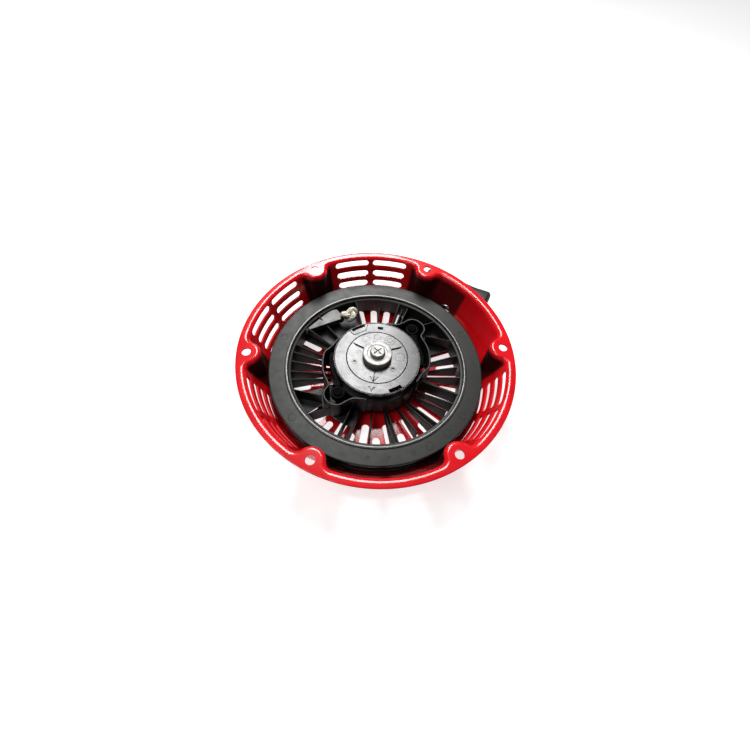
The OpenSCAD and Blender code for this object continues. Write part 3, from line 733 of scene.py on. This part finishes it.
# %% Profiles with rounded corners
def rounded(corners, steps=4):
    """Corners are (radius, height, rounding). Each is replaced by the curve (1-t)^2 A + 2t(1-t) C + t^2 B,
    where A and B lie on its two sides, a rounding away from the corner C."""
    c = np.array(corners, float)
    p, trim = c[:, :2], c[:, 2:]
    out = []
    for side in (np.roll(p, 1, 0), np.roll(p, -1, 0)):
        span = side - p
        length = np.linalg.norm(span, axis=1)[:, None]
        out.append(p + span / length * np.minimum(trim, 0.49 * length))
    t = np.linspace(0, 1, steps + 1)[None, :, None]
    a, b = out[0][:, None], out[1][:, None]
    return ((1 - t) ** 2 * a + 2 * t * (1 - t) * p[:, None] + t ** 2 * b).reshape(-1, 2)


square = [(0, 0, 1), (9, 0, 1), (9, 9, 1), (0, 9, 1)]
print("a square with rounded corners has", len(rounded(square)), "points")

# %% Turned parts
def revolve(name, corners, place=(0, 0, 0), steps=160, axis=None):
    """The closed profile carried round the axis through place: (r cos a, r sin a, z). axis turns Z to
    another direction."""
    line = rounded(corners)
    a = 2 * math.pi * np.arange(steps) / steps
    points = np.stack([line[:, :1] * np.cos(a), line[:, :1] * np.sin(a), np.repeat(line[:, 1:], steps, 1)],
                      -1)
    if axis is not None:
        points = points @ np.array(Vector((0, 0, 1)).rotation_difference(Vector(axis)).to_matrix()).T
    obj = grid_piece(name, (points + np.asarray(place, float)) * MM, close_rows=True)
    return faces_outward(obj)


print("turning tool ready")

# %% Walls along a line in plan
def wall_points(plan, half, low, high, crown=None):
    """Section points (offset, height) at each plan point: two straight sides and a half-round top.
    half, low and high may be numbers or one value for each plan point."""
    plan = np.asarray(plan, float)
    ahead = np.gradient(plan, axis=0)
    ahead /= np.linalg.norm(ahead, axis=1)[:, None]
    aside = np.stack([-ahead[:, 1], ahead[:, 0]], -1)
    n = len(plan)
    half, low, high = (np.broadcast_to(np.asarray(v, float), (n,))[:, None] for v in (half, low, high))
    crown = half if crown is None else crown
    a = np.radians(np.linspace(0, 180, 7))[None, :]
    offset = np.hstack([half, (half - crown) * np.sign(np.cos(a)) + crown * np.cos(a), -half])
    height = np.hstack([low, high - crown + crown * np.sin(a), low])
    flat = plan[:, None] + offset[..., None] * aside[:, None]
    return np.dstack([flat, height[..., None]])


def closed_strip(name, points):
    """A sweep whose rows are closed sections; its two end sections become faces."""
    obj = grid_piece(name, points * MM)
    cap_ends(obj, *points.shape[:2])
    return obj


print("wall tools ready")

# %% Joining and handing over
def joined(name, objs):
    """Several meshes made one."""
    work = bmesh.new()
    for obj in objs:
        work.from_mesh(obj.data)
        bpy.data.objects.remove(obj)
    mesh = bpy.data.meshes.new(name)
    work.to_mesh(mesh)
    work.free()
    mesh.set_sharp_from_angle(angle=math.radians(35))
    made = bpy.data.objects.new(name, mesh)
    bpy.context.scene.collection.objects.link(made)
    return made


def spoke(degrees, r0, r1):
    """Plan points on a straight line between two (radius, angle) places; one angle serves both if single."""
    a0, a1 = degrees if hasattr(degrees, "__len__") else (degrees, degrees)
    start, end = polar(r0, a0, 0)[:2], polar(r1, a1, 0)[:2]
    return start + (end - start) * np.linspace(0, 1, 6)[:, None]


def settle(obj, body, finish, slot, *nodes):
    """Gives a finished piece its finish and body, and hides the CAD nodes it stands for. slot is not used."""
    even_shading(hand_over(obj, finishes[finish]))
    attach(obj, body)
    if nodes:
        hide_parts(*nodes)
    return obj


print("joining tools ready")

# %% [markdown]
# ## The rope reel
# The reel is one black moulding: a wide flanged rim that carries the rope, a drum over the flat spring,
# thin ribs between them that pull cooling air through, and two pockets in which the pawls pivot. The
# rim's upper face is broad and flat with a raised bead round its inner edge, which catches the light.

# %% Rim
RING_TOP = -23
rim = revolve("reel_rim", [
    (81.2, -42, 0.6), (101, -42, 0.8), (101, -38.8, 0.8), (84, -38.8, 0.4), (84, -26.2, 0.4),
    (102.5, -26.2, 0.6),
    (102.5, RING_TOP, 1.3), (86.4, RING_TOP, 0.3), (83.4, -24.6, 0.5), (81.6, -25.2, 0.6)], steps=240)
settle(rim, "reel", "rim_plastic", "reel_plastic", "rope_reel")
# the bead carries the lighter finish, a painted highlight along the rim's inner edge
bead = revolve("reel_bead", [(84.0, -25, 0.5), (87.2, -23.4, 0.3), (87.4, -21.9, 1.3), (84.2, -21.9, 1.3)],
               steps=240)
settle(bead, "reel", "bead_highlight_plastic", "reel_plastic")
print("rim:", len(rim.data.polygons), "faces, bead:", len(bead.data.polygons))

# %% Drum over the spring
drum = revolve("reel_drum", [
    (10.05, -46, 0.3), (13.4, -46, 0.3), (13.4, -27.9, 0.3), (38.4, -27.9, 0.8), (38.4, -46, 0.3),
    (41, -46, 0.5),
    (41, -41.6, 0.3), (43.0, -41.0, 0.5), (43.0, -23.4, 1.2), (38.0, -22.9, 0.5), (36.0, -21.6, 0.5),
    (13.6, -21.6, 0.4), (13.3, -21.02, 0.2), (10.05, -21.02, 0.2)])
settle(drum, "reel", "reel_plastic", "reel_plastic")
print("drum:", len(drum.data.polygons), "faces")

# %% [markdown]
# Each pocket is one thin wall that runs round the hub, bulges round a pawl's pivot and leaves the pawl room
# to swing. Its plan is a list of (angle, radius) places with a smooth curve through them. Three straight
# webs tie it to the rim.

# %% Pocket walls
POCKET = [(74, 45.2), (66, 46.4), (60, 48.4), (55.5, 54.0), (52.6, 60.0), (48.5, 63.6), (44, 64.7),
          (39, 64.2), (34.5, 61.5),
          (32.2, 57.6), (30.6, 54.2), (26, 52.9), (21, 52.8), (15, 52.8), (9, 52.6), (2, 52.1), (-4, 51.6),
          (-9, 51.3), (-13, 50.1), (-18, 47.3), (-24, 45.5), (-30, 44.9), (-36, 44.6)]
walls = []
WALL_FOOT, WALL_TOP = -39.5, -15.6
# Start and end angle, start radius, half thickness and top of each web
WEBS = [(32, 18, 62, 0.6, -24.4), (45, 38.3, 64, 0.6, -24.6), (60, 62, 48, 0.7, -27.0)]
for turn in (0, 180):
    plan = smooth_path(np.array([polar(r - 0.9, a + turn, 0)[:2] for a, r in POCKET]), 5)
    walls.append(closed_strip("wall", wall_points(plan, 0.95, WALL_FOOT, WALL_TOP, 0.75)))
    for a0, a1, r0, half, top in WEBS:
        line = spoke((a0 + turn, a1 + turn), r0, 83)
        walls.append(closed_strip("wall", wall_points(line, half, WALL_FOOT, top)))
settle(joined("reel_pockets", walls), "reel", "reel_plastic", "reel_plastic")
print("pocket walls:", len(walls))

# %% [markdown]
# The ribs are fan blades as much as stiffeners. They stand on edge from the hub to the rim, at uneven
# angles, because the pockets and the knot take their places. Each has its angle and how far it stops
# short of the rim, and its top slopes up to the rim.

# %% Ribs
RIBS = [(102, 0), (133, 0), (146, 2), (162, 0), (168.5, 1), (176, 0), (184, 1), (190.5, 0), (69, 0),
        (65, 6), (84, 9), (6, 0),
        (-3.5, 3), (-12, 1), (-33, 0), (-40, 2), (-51.7, 0), (-55.3, 1), (-66, 4), (-80, 0), (-83, 1),
        (-98, 6), (-112, 0)]
ribs = []
for angle, short in RIBS:
    plan = spoke(angle, 44.5, 82.4 - short)
    ribs.append(closed_strip("rib", wall_points(plan, 0.95, -40.5,
                                                np.linspace(-36.5, -24.6 - 0.25 * short, 6))))
ribs.append(closed_strip("rib", wall_points(spoke(-25.5, 44.0, 82.6),
                                            np.array([2.6, 1.3, 1.1, 1.1, 1.1, 1.2]), -40.5,
                                            np.array([-20.5, -23.6, -24.0, -24.0, -24.0, -24.0]), 0.7)))
settle(joined("reel_ribs", ribs), "reel", "reel_plastic", "reel_plastic")
print("ribs:", len(ribs))

# %% Floors of the closed cells
# Start angle, end angle and outer radius of each
FLOORS = [(18, 64, 82), (198, 213, 82), (213, 248, 64), (104, 150, 82)]


def sector_plate(name, r0, r1, a0, a1, z0, z1, steps=24):
    """A flat piece of ring between two directions, from z0 to z1."""
    a = np.linspace(a0, a1, steps)
    loop = [(r0, z0), (r1, z0), (r1, z1), (r0, z1)]
    return closed_strip(name, np.stack([[polar(r, d, z) for r, z in loop] for d in a]))


plates = [sector_plate("plate", 42.5, r, a0, a1, -41, -38.6) for a0, a1, r in FLOORS]
settle(joined("reel_floors", [faces_outward(p) for p in plates]), "reel", "reel_plastic", "reel_plastic")
print("cell floors:", len(plates))

# %% [markdown]
# The rope enters the reel through a wedge-shaped channel beside its knot, and the mould's ejector pins have
# left round marks on the rim. A mark is a hair-thin ring on the face: real geometry, so that it also
# shows in the exported shape.

# %% Rope anchor
anchor_plan = [polar(82.4, 149, 0), polar(82.4, 122, 0), polar(79.5, 118, 0), polar(67.5, 116.5, 0),
               polar(66.5, 119, 0)]
anchor = punch(np.array([p[:2] for p in anchor_plan]), (0, 0, -33), (1, 0, 0), (0, 1, 0), 6.4)
anchor = joined_prisms("reel_anchor", [anchor])
settle(anchor, "reel", "anchor_plastic", "reel_plastic")
print("anchor:", len(anchor.data.polygons), "faces")

# %% Ejector marks on the rim's upper face
def mark_ring(radius, degrees, size, z, line=0.22):
    """A round witness line of that size, standing a hair proud of the face at height z."""
    a = np.radians(np.arange(0, 360, 12))
    centre = polar(radius, degrees, z)
    path = np.stack([centre[0] + size * np.cos(a), centre[1] + size * np.sin(a), np.full(len(a), z)], -1)
    return tube("mark", path * MM, line * MM, sides=6, closed=True)


# Angle and size of each
RIM_MARKS = [(-64.4, 3.6), (-51.7, 3.6), (-37.9, 3.4), (-73.6, 1.6), (-98, 1.2), (-87, 1.2), (20, 3.0),
             (160, 3.4), (215, 3.4)]
marks = [mark_ring(95, a, size, RING_TOP - 0.05) for a, size in RIM_MARKS]
settle(joined("reel_marks", marks), "reel", "reel_plastic", "reel_plastic")
print("rim marks:", len(marks))

# %% [markdown]
# ## The hub
# The ratchet guide and the friction plate in it make the disc in the middle. It looks pale, but it is black
# nylon too, only glossier, so it mirrors the light. The mould left round witness rings in its face.

# %% Guide ring
DISC_TOP = -12.0
guide = revolve("guide_ring", [
    (8.2, -17, 0.3), (31.6, -17, 0.4), (31.6, -15.1, 0.2), (40.6, -15.1, 0.3), (41, -14.6, 0.3),
    (41, DISC_TOP, 0.7),
    (40.3, DISC_TOP, 0.15), (40.15, -12.45, 0.1), (39.85, -12.45, 0.1), (39.7, DISC_TOP, 0.15),
    (29.0, DISC_TOP, 0.3), (28.8, -14.7, 0.2), (8.2, -14.7, 0.2)], steps=200)
print("guide ring:", len(guide.data.polygons), "faces")

# %% Outlines of the cuts in the disc
def band(r0, r1, a0, a1, steps=16):
    """Outline in plan of a piece of ring."""
    a = np.linspace(a0, a1, steps)
    return np.array([polar(r1, d, 0)[:2] for d in a] + [polar(r0, d, 0)[:2] for d in a[::-1]])


def stroke(start, end, width, end_width=None):
    """Outline in plan of a straight stroke between two (radius, angle) places."""
    p, q = polar(*start, 0)[:2], polar(*end, 0)[:2]
    side = np.array([-(q - p)[1], (q - p)[0]]) / np.linalg.norm(q - p) / 2
    wide = width if end_width is None else end_width
    return np.array([p - side * width, q - side * wide, q + side * wide, p + side * width])


def down(outline, top, low):
    """A punch of that plan outline between two heights."""
    return punch(outline, (0, 0, low), (1, 0, 0), (0, 1, 0), top - low)


print("outlines: bands and strokes")

# %% [markdown]
# Two stops are cut right through the ring's edge and a groove outlines one of them. A chevron and a small
# window complete it. All are one Boolean with the ring, so the edges of the cuts are crisp.

# %% Cuts in the guide ring
THROUGH = -20
GROOVE = [(39.3, 128.8), (33.4, 128.6), (32.4, 117), (32.6, 105.8), (38.4, 100.6)]
cuts = [down(band(36.9, 39.5, 104.8, 125.6), 0, THROUGH), down(band(36.0, 39.4, 283, 302), 0, THROUGH)]
cuts += [down(stroke(start, end, 0.55), 0, -12.7) for start, end in zip(GROOVE, GROOVE[1:])]
cuts += [down(stroke((32.4, 81), (35.6, 81), 5.0), 0, THROUGH),
         down(stroke((37.3, -102.2), (32.8, -106.4), 1.0), 0, -12.8),
         down(stroke((37.3, -101.8), (32.8, -97.6), 1.0), 0, -12.8)]
cut(guide, joined_prisms("guide_cuts", cuts))
settle(guide, "guide", "guide_plastic", "guide_plastic", "ratchet_guide")
print("guide ring after cutting:", len(guide.data.polygons), "faces")

# %% [markdown]
# The friction plate fills the ring's middle. It carries an arrow and two tapering wings, sunk in its face,
# and round witness marks that stand a hair proud.

# %% Friction plate
plate = revolve("friction_disc", [
    (8.2, -14.6, 0.2), (28.6, -14.6, 0.2), (28.6, DISC_TOP, 0.45), (8.2, DISC_TOP, 0.2)], steps=160)
# Start, end, width, width at the end and the height of the cut's bottom
STROKES = [((12, -100), (27.4, -101), 1.1, 1.1, -12.9), ((22.6, -92), (27.2, -100.4), 0.9, 0.9, -12.7),
           ((22.6, -110), (27.2, -101.6), 0.9, 0.9, -12.7), ((13, 148), (27.6, 142.5), 6.4, 0.5, -13.6),
           ((13, 24.5), (27.0, 24), 5.8, 0.5, -13.6)]
cuts = [down(stroke(start, end, width, end_width), 0, low) for start, end, width, end_width, low in STROKES]
cuts += [down(circle(size, 20) + polar(r, a, 0)[:2], 0, -13.0) for r, a,
         size in ((22, -167.5, 1.5), (19.6, -45, 1.5))]
cut(plate, joined_prisms("plate_cuts", cuts))
settle(plate, "guide", "plate_plastic", "plate_plastic", "friction_plate")
# Radius, angle and size of each
PLATE_MARKS = [(24, 113, 4.0), (24, 113, 2.2), (23, 86, 3.0), (23, 54, 5.0), (23, 54, 2.6), (21.6, -2, 4.6),
               (22, -167.5, 2.4), (19.6, -45, 2.4)]
marks = [mark_ring(r, a, size, DISC_TOP, 0.16) for r, a, size in PLATE_MARKS]
settle(joined("plate_marks", marks), "guide", "plate_plastic", "plate_plastic")
print("plate strokes:", len(STROKES), "marks:", len(marks))

# %% [markdown]
# The collar and the screw hold the whole hub down. Both are turned steel, so each is a profile carried
# round the axis. The screw's cross is cut as two crossed bars of slightly different depth, because two
# coplanar floors would confuse the Boolean.

# %% Collar and centre screw
collar = revolve("collar", [
    (3.2, -11.9, 0.1), (13.8, -11.9, 0.4), (13.8, -5.2, 1.3), (9.6, -5.2, 0.3), (9.2, -5.6, 0.3),
    (3.2, -5.6, 0.2)], steps=120)
settle(collar, "housing", "collar_steel", "collar_steel", "friction_collar")
screw = revolve("screw_head", [(0.02, -9, 0), (2.9, -9, 0.1), (2.9, -5.6, 0.2), (7, -5.6, 0.3),
                               (7, -1.8, 1.5), (0.02, -1.8, 0)],
                steps=90)
cuts = [down(stroke((4.9, 38 + 90 * k), (4.9, 218 + 90 * k), 1.1), 0, -2.9 - 0.05 * k) for k in (0, 1)]
for groove in cuts:
    cut(screw, joined_prisms("cross", [groove]))
settle(screw, "housing", "screw_steel", "screw_steel", "centre_screw")
print("collar and screw ready")

# %% [markdown]
# ## The ratchet
# Two pawls pivot on pins in the reel's pockets. Pawls and pins are steel, coloured near black as painted
# shade of the pockets, and each pawl is one piece: a round eye, and an arm that follows the well's wall round
# to a thin tip. Under each sits a coil of wire whose leg holds the pawl in, and a wire coil under the guide
# presses it against the collar, so that it drags.

# %% Pawls and their pins
PIVOT = (51.0, 43.0)


def pivot_place(turn):
    """A pawl's pivot, for the pawl at that turn."""
    return polar(PIVOT[0], PIVOT[1] + turn, 0)


def pawl_piece(name, turn):
    """An arm swept along an arc of the well from its tip to the eye, and the turned eye."""
    a = np.linspace(-11.6, 36.0, 26)
    ease = np.clip((a - 24) / 12, 0, 1) ** 2
    radius = 42.85 + ease * 4.5
    plan = np.array([polar(r, d + turn, 0)[:2] for r, d in zip(radius, a)])
    half = np.interp(a, [-11.6, -9.5, 0, 24, 36], [1.5, 2.1, 2.3, 2.3, 3.6])
    arm = closed_strip("arm", wall_points(plan, half, -20.8, -15.5, 0.7))
    eye = revolve("eye", [(2.6, -20.9, 0.4), (6.5, -20.9, 0.5), (6.5, -15.4, 0.6), (4.6, -15.4, 0.1),
                          (4.4, -15.7, 0.1), (2.6, -15.7, 0.3)], pivot_place(turn), 64)
    return joined(name, [faces_outward(arm), eye])


def pin_piece(name, turn):
    """A turned pin with a low rounded head."""
    return revolve(name, [(0.02, -36, 0), (2.5, -36, 0.4), (2.5, -15.0, 0.1), (4.0, -15.0, 0.2),
                          (4.0, -14.0, 0.7), (0.02, -14.0, 0)], pivot_place(turn), 48)


print("pawls pivot", PIVOT[0], "mm from the middle")

# %% Wire springs
SPRING_R, SPRING_COILS, SPRING_LOW = 3.7, 2.35, -23.1


def pawl_wire(name, turn):
    """Coils round the pin with two legs, for the pawl at that turn."""
    a = np.linspace(0, SPRING_COILS * 2 * math.pi, 90)
    rise = SPRING_LOW + 1.05 * a / (2 * math.pi * SPRING_COILS)
    ring = np.stack([SPRING_R * np.cos(a), SPRING_R * np.sin(a), rise], -1)
    leg = np.array([[SPRING_R, -6.5, SPRING_LOW], [SPRING_R, -3.0, SPRING_LOW]])
    path = np.vstack([leg, ring, ring[-1:] + np.array([[-1.6, -1.0, 0], [-3.4, -2.2, 0]])])
    c, s = math.cos(math.radians(turn)), math.sin(math.radians(turn))
    turned = path @ np.array([[c, s, 0], [-s, c, 0], [0, 0, 1]])
    return tube(name, (turned + pivot_place(turn)) * MM, 0.52 * MM, sides=10)


def coil(radius, z0, z1, turns, steps=40):
    """A helix (r cos a, r sin a, z) whose first and last turns lie flat, as ground spring ends do."""
    a = np.linspace(0, 2 * math.pi * turns, int(turns * steps) + 1)
    share = np.clip((a / (2 * math.pi) - 0.8) / (turns - 1.6), 0, 1)
    return np.stack([radius * np.cos(a), radius * np.sin(a), z0 + (z1 - z0) * share], -1)


for hand, turn in (("a", 0), ("b", 180)):
    settle(pawl_piece("swing_pawl_" + hand, turn), "pawl_" + hand, "pawl_steel", "pawl_steel",
           "pawl_" + hand)
    settle(pin_piece("turned_pin_" + hand, turn), "reel", "pin_steel", "pin_steel", "pawl_pin_" + hand)
    settle(pawl_wire("pawl_wire_" + hand, turn), "reel", "wire_steel", "wire_steel", "pawl_spring_" + hand)
drag = tube("drag_coil", coil(10.6, -19.2, -17.75, 3.2) * MM, 0.58 * MM, sides=12)
settle(drag, "guide", "wire_steel", "wire_steel", "friction_spring")
print("two pawls, two pins, three wire springs")

# %% [markdown]
# ## Inside the drum
# A flat steel strip, wound up like a clock's, pulls the reel back. Its inner end hooks into the slit
# sleeve of the centre post and its outer end into the drum, and a thin steel keeper closes the drum
# underneath. A strip is a thin wall carried along a spiral, so the wall tool makes it in one sweep.

# %% Spiral spring
STRIP_TURNS, STRIP_IN, STRIP_OUT = 7, 17.4, 36.6
turns = np.linspace(0, STRIP_TURNS, STRIP_TURNS * 60)
radius = STRIP_IN + (STRIP_OUT - STRIP_IN) * turns / STRIP_TURNS
spiral = np.stack([radius * np.cos(2 * math.pi * turns), radius * np.sin(2 * math.pi * turns)], -1)
hook_in = spiral[:1] + np.array([[-1.9, -2.6], [-1.2, -2.2], [-0.3, -1.2]])
strip = closed_strip("spiral_strip", wall_points(np.vstack([hook_in, spiral]), 0.42, -44.4, -30.6, 0.2))
settle(faces_outward(strip), "reel", "spring_steel", "spring_steel", "recoil_spring")
print("spiral:", STRIP_TURNS, "turns,", len(strip.data.polygons), "faces")

# %% Keeper, bushing, washer and post
keeper = revolve("keeper_plate", [
    (16.2, -46.8, 0.1), (24, -46.8, 0.3), (25, -46.5, 0.3), (31, -46.5, 0.3), (32, -46.8, 0.3),
    (40.5, -46.8, 0.2),
    (40.5, -46.1, 0.2), (32, -46.1, 0.3), (31, -46.03, 0.3), (16.2, -46.03, 0.1)], steps=120)
settle(keeper, "reel", "keeper_steel", "keeper_steel", "spring_keeper")
sleeve = revolve("bronze_bush", [
    (8.06, -45, 0.4), (9.98, -45, 0.3), (9.98, -21.05, 0.3), (8.06, -21.05, 0.4)], steps=96)
settle(sleeve, "reel", "bushing_bronze", "bushing_bronze", "reel_bushing")
washer = revolve("thrust_ring", [
    (8.1, -20.95, 0.2), (13.4, -20.95, 0.3), (13.4, -19.96, 0.3), (8.1, -19.96, 0.2)], steps=96)
settle(washer, "reel", "washer_steel", "washer_steel", "thrust_washer")
post = revolve("turned_post", [
    (0.02, -51.6, 0), (5.94, -51.6, 0.5), (5.94, -50.0, 0.1), (20, -50.0, 0.4), (20, -47.8, 0.8),
    (15.4, -47.6, 0.3),
    (15.4, -32.6, 0.4), (13.8, -32.6, 0.4), (13.8, -47.5, 0.3), (8, -47.5, 0.4), (8, -11.92, 0.5),
    (3.1, -11.92, 0.4), (3.1, -31.9, 0.3), (0.02, -32.6, 0)], steps=96)
cut(post, joined_prisms("slit", [down(np.array([(12, -1.5), (17.5, -1.5), (17.5, 1.5), (12, 1.5)]), -30,
                                      -43.6)]))
settle(post, "housing", "post_steel", "post_steel", "centre_post")
print("keeper, bushing, washer and post")

# %% [markdown]
# ## The wound rope and its knots
# The rope lies in the groove in two layers, which climb from one to the other, and its last turn rises
# to leave at the exit. A plain ring can't show that, so the winding is one helix drawn in steps. Each
# end is held by an overhand knot pulled tight, which is a trefoil curve: three loops round a centre.

# %% Winding
WOUND_TURNS = 4.63
turn = np.linspace(0, WOUND_TURNS, int(WOUND_TURNS * 80))
step = lambda centre, width: smooth_step(turn, centre - width, centre + width)
radius = 84.4 + 2.55 * step(0.05, 0.05) + 4.35 * step(2.15, 0.06) + 5.5 * step(4.57, 0.06)
height = -29.4 - 6.1 * step(1.1, 0.07) + 6.1 * step(3.3, 0.07) - 3.1 * step(4.55, 0.08)
angle = np.radians(16.6 - 360 * (WOUND_TURNS - turn))
helix = np.stack([radius * np.cos(angle), radius * np.sin(angle), height], -1)
wound = tube("wound_rope", helix * MM, ROPE_R * MM, sides=12)
settle(wound, "reel", "rope_fibre", "rope_fibre", "rope_winding")
print("rope on the reel:", round(float(np.linalg.norm(np.diff(helix, axis=0), axis=1).sum())), "mm")

# %% Overhand knots
def knot(name, place, across, up, size, rope_r):
    """A tight trefoil: (sin t + 2 sin 2t, cos t - 2 cos 2t, -sin 3t), sized on its three directions.
    The curve is left open at one side, where one end sticks out."""
    t = np.linspace(0.12, 2 * math.pi - 0.12, 110)
    across, up = (np.asarray(v, float) / np.linalg.norm(v) for v in (across, up))
    third = np.cross(across, up)
    shape = [(np.sin(t) + 2 * np.sin(2 * t)) * size[0], (np.cos(t) - 2 * np.cos(2 * t)) * size[1],
             -np.sin(3 * t) * size[2]]
    path = np.asarray(place, float) + sum(v[:, None] * d for v, d in zip(shape, (across, up, third)))
    return tube(name, path * MM, rope_r * MM, sides=14, turns_per_metre=170)


KNOT_ANGLE = 111
reel_knot = knot("reel_knot", polar(67, KNOT_ANGLE, -25.4), polar(1, KNOT_ANGLE + 90, 0),
                 polar(1, KNOT_ANGLE, 0.25), (2.6, 1.75, 2.5), 2.55)
settle(reel_knot, "reel", "rope_fibre", "rope_fibre", "rope_knot")
GRIP_X = 133.4
way, aside = from_pull([(1, 0, 0), (0, 1, 0)])
end_knot = knot("end_knot", on_rope(GRIP_X + 3.6), aside, (0, 0, 1), (1.2, 1.2, 2.2), 2.3)
settle(end_knot, "handle", "rope_fibre", "rope_fibre", "grip_knot")
print("knots:", reel_knot.name, end_knot.name)

# %% [markdown]
# ## Eyelet and grip
# The rope passes a rolled steel eyelet in the case wall, which has to be smooth where it rubs. The grip
# is a T: a short neck and a bar with flat faces and well-rounded ends, moulded in two halves, so a thin
# parting line runs all round it. A hole in its back holds the rope's knot on a washer.

# %% Eyelet
eyelet = revolve("rolled_eyelet", [
    (3.3, 0, 2.0), (3.3, 8.1, 2.0), (7.2, 8.1, 0.8), (7.2, 6.1, 0.5), (5.6, 6.1, 0.2), (5.6, 1.7, 0.2),
    (7.2, 1.7, 0.5), (7.2, 0, 0.8)], on_rope(103.9), 64, way)
settle(eyelet, "housing", "eyelet_steel", "eyelet_steel", "rope_eyelet")
print("eyelet:", len(eyelet.data.polygons), "faces")

# %% Grip
def grip_bar(half=38.0, size=13.0, corner=4.5, columns=96):
    """Sections across the bar are superellipses |x|^n + |z|^n = R^n, with n from 2.6 in the middle to 3.6 at
    the ends. R drops by a quarter round at each end, and a low ridge stands out along the parting line."""
    quarter = np.linspace(0, math.pi / 2, 9)
    ends = half - corner + corner * np.sin(quarter)
    s = np.concatenate([-ends[::-1], np.linspace(-(half - corner), half - corner, 41)[1:-1], ends])
    over = np.clip((np.abs(s) - (half - corner)) / corner, 0, 1)
    radius = size - corner + corner * np.sqrt(1 - over ** 2) - 0.5 * np.exp(-((np.abs(s) - 19) / 7) ** 2)
    power = 2.6 + 1.0 * np.clip(np.abs(s) / half, 0, 1) ** 2
    a = 2 * math.pi * np.arange(columns) / columns
    c, d = np.cos(a)[None], np.sin(a)[None]
    n = power[:, None]
    reach = radius[:, None] / (np.abs(c) ** n + np.abs(d) ** n) ** (1 / n)
    reach = np.minimum(reach + 0.12 * (np.abs(d) < 0.03), size * 1.18)
    x, z = reach * c, reach * d
    points = np.stack([GRIP_X + x, np.broadcast_to(EXIT_Y + s[:, None], x.shape), ROPE_Z + z], -1)
    obj = grid_piece("grip_bar", from_pull(points) * MM, smooth_angle=40)
    cap_ends(obj, len(s), columns)
    return faces_outward(obj)


print("grip sections ready")

# %% [markdown]
# The neck is merged into the bar, then two holes are cut: a wide one for the knot and a narrow one for
# the rope.

# %% Grip with its neck and holes
bar = grip_bar()
neck = revolve("neck", [(3.2, 0, 0.8), (7.4, 0, 1.0), (8.4, 5, 3), (9.4, 11, 1), (3.2, 11, 0.2)],
               on_rope(112.4), 96, way)
cut(bar, neck, "UNION")
WASHER_X = GRIP_X - 3
holes = [punch(circle(6.95, 64), on_rope(WASHER_X), aside, (0, 0, 1), 24),
         punch(circle(3.2, 48), on_rope(108), aside, (0, 0, 1), 40)]
for hole in holes:
    cut(bar, joined_prisms("hole", [hole]))
bar.data.polygons.foreach_set("use_smooth", np.ones(len(bar.data.polygons), bool))
bar.data.set_sharp_from_angle(angle=math.radians(38))
settle(bar, "handle", "grip_plastic", "grip_plastic", "grip")
insert = revolve("grip_washer", [(2.9, 0, 0.3), (6.9, 0, 0.3), (6.9, 1.2, 0.3), (2.9, 1.2, 0.3)],
                 on_rope(WASHER_X), 64, way)
settle(insert, "handle", "washer_steel", "washer_steel", "grip_insert")
print("grip:", len(bar.data.polygons), "faces, with its washer")

# %% [markdown]
# ## Floor and light
# A plain pale floor lies under the starter. One large soft light stands behind and above it, where its
# mirror image falls on the hub, a second fills from the near left, and the surroundings are a soft grey.

# %% Floor
def floor_finish():
    """A pale matt grey that glows a little, so that it stays even far from the lights."""
    f = Finish("floor", metallic=0.0, specular_ior_level=0.2)
    f.set(base_color=f.mix(f.noise(6.0), (0.60, 0.61, 0.61, 1), (0.64, 0.65, 0.65, 1)), roughness=0.75,
          emission_color=(1, 1, 1, 1), emission_strength=0.72)
    return f


floor_z = cad_box[0][2] - 0.0005
reach = 3.0
corners = np.array([[(-reach, -reach, floor_z), (reach, -reach, floor_z)],
                    [(-reach, reach, floor_z), (reach, reach, floor_z)]])
floor = grid_piece("floor", corners, close_columns=False)
hand_over(floor, floor_finish())
floor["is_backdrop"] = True
print("floor", 2 * reach, "m wide")

# %% Lights
def soft_light(name, place, size, power):
    """An area light at place, facing the middle of the starter."""
    data = bpy.data.lights.new(name, "AREA")
    data.shape, data.size, data.size_y, data.energy = "RECTANGLE", size[0], size[1], power
    light = bpy.data.objects.new(name, data)
    light.location = place
    light.rotation_euler = (Vector((0, 0, 0)) - Vector(place)).to_track_quat("-Z", "Y").to_euler()
    bpy.context.scene.collection.objects.link(light)
    return light


soft_light("back_softbox", (0.0, 0.62, 0.83), (0.34, 0.60), 15)
soft_light("top_softbox", (-0.75, -0.15, 1.9), (1.0, 0.8), 13)
world = bpy.data.worlds.new("surroundings")
world.use_nodes = True
background = world.node_tree.nodes["Background"].inputs
background["Color"].default_value, background["Strength"].default_value = (1, 1, 1, 1), 0.05
bpy.context.scene.world = world
bpy.context.scene.view_settings.view_transform = "Standard"

# %% [markdown]
# ## The size
# Both boxes, the frame's and the one with the looks, are printed side by side. The looks
# may not change the starter's size.

# %% Size and finish
seen_box = [list(corner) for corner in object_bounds()]
print("sizes:", cad_box, seen_box)
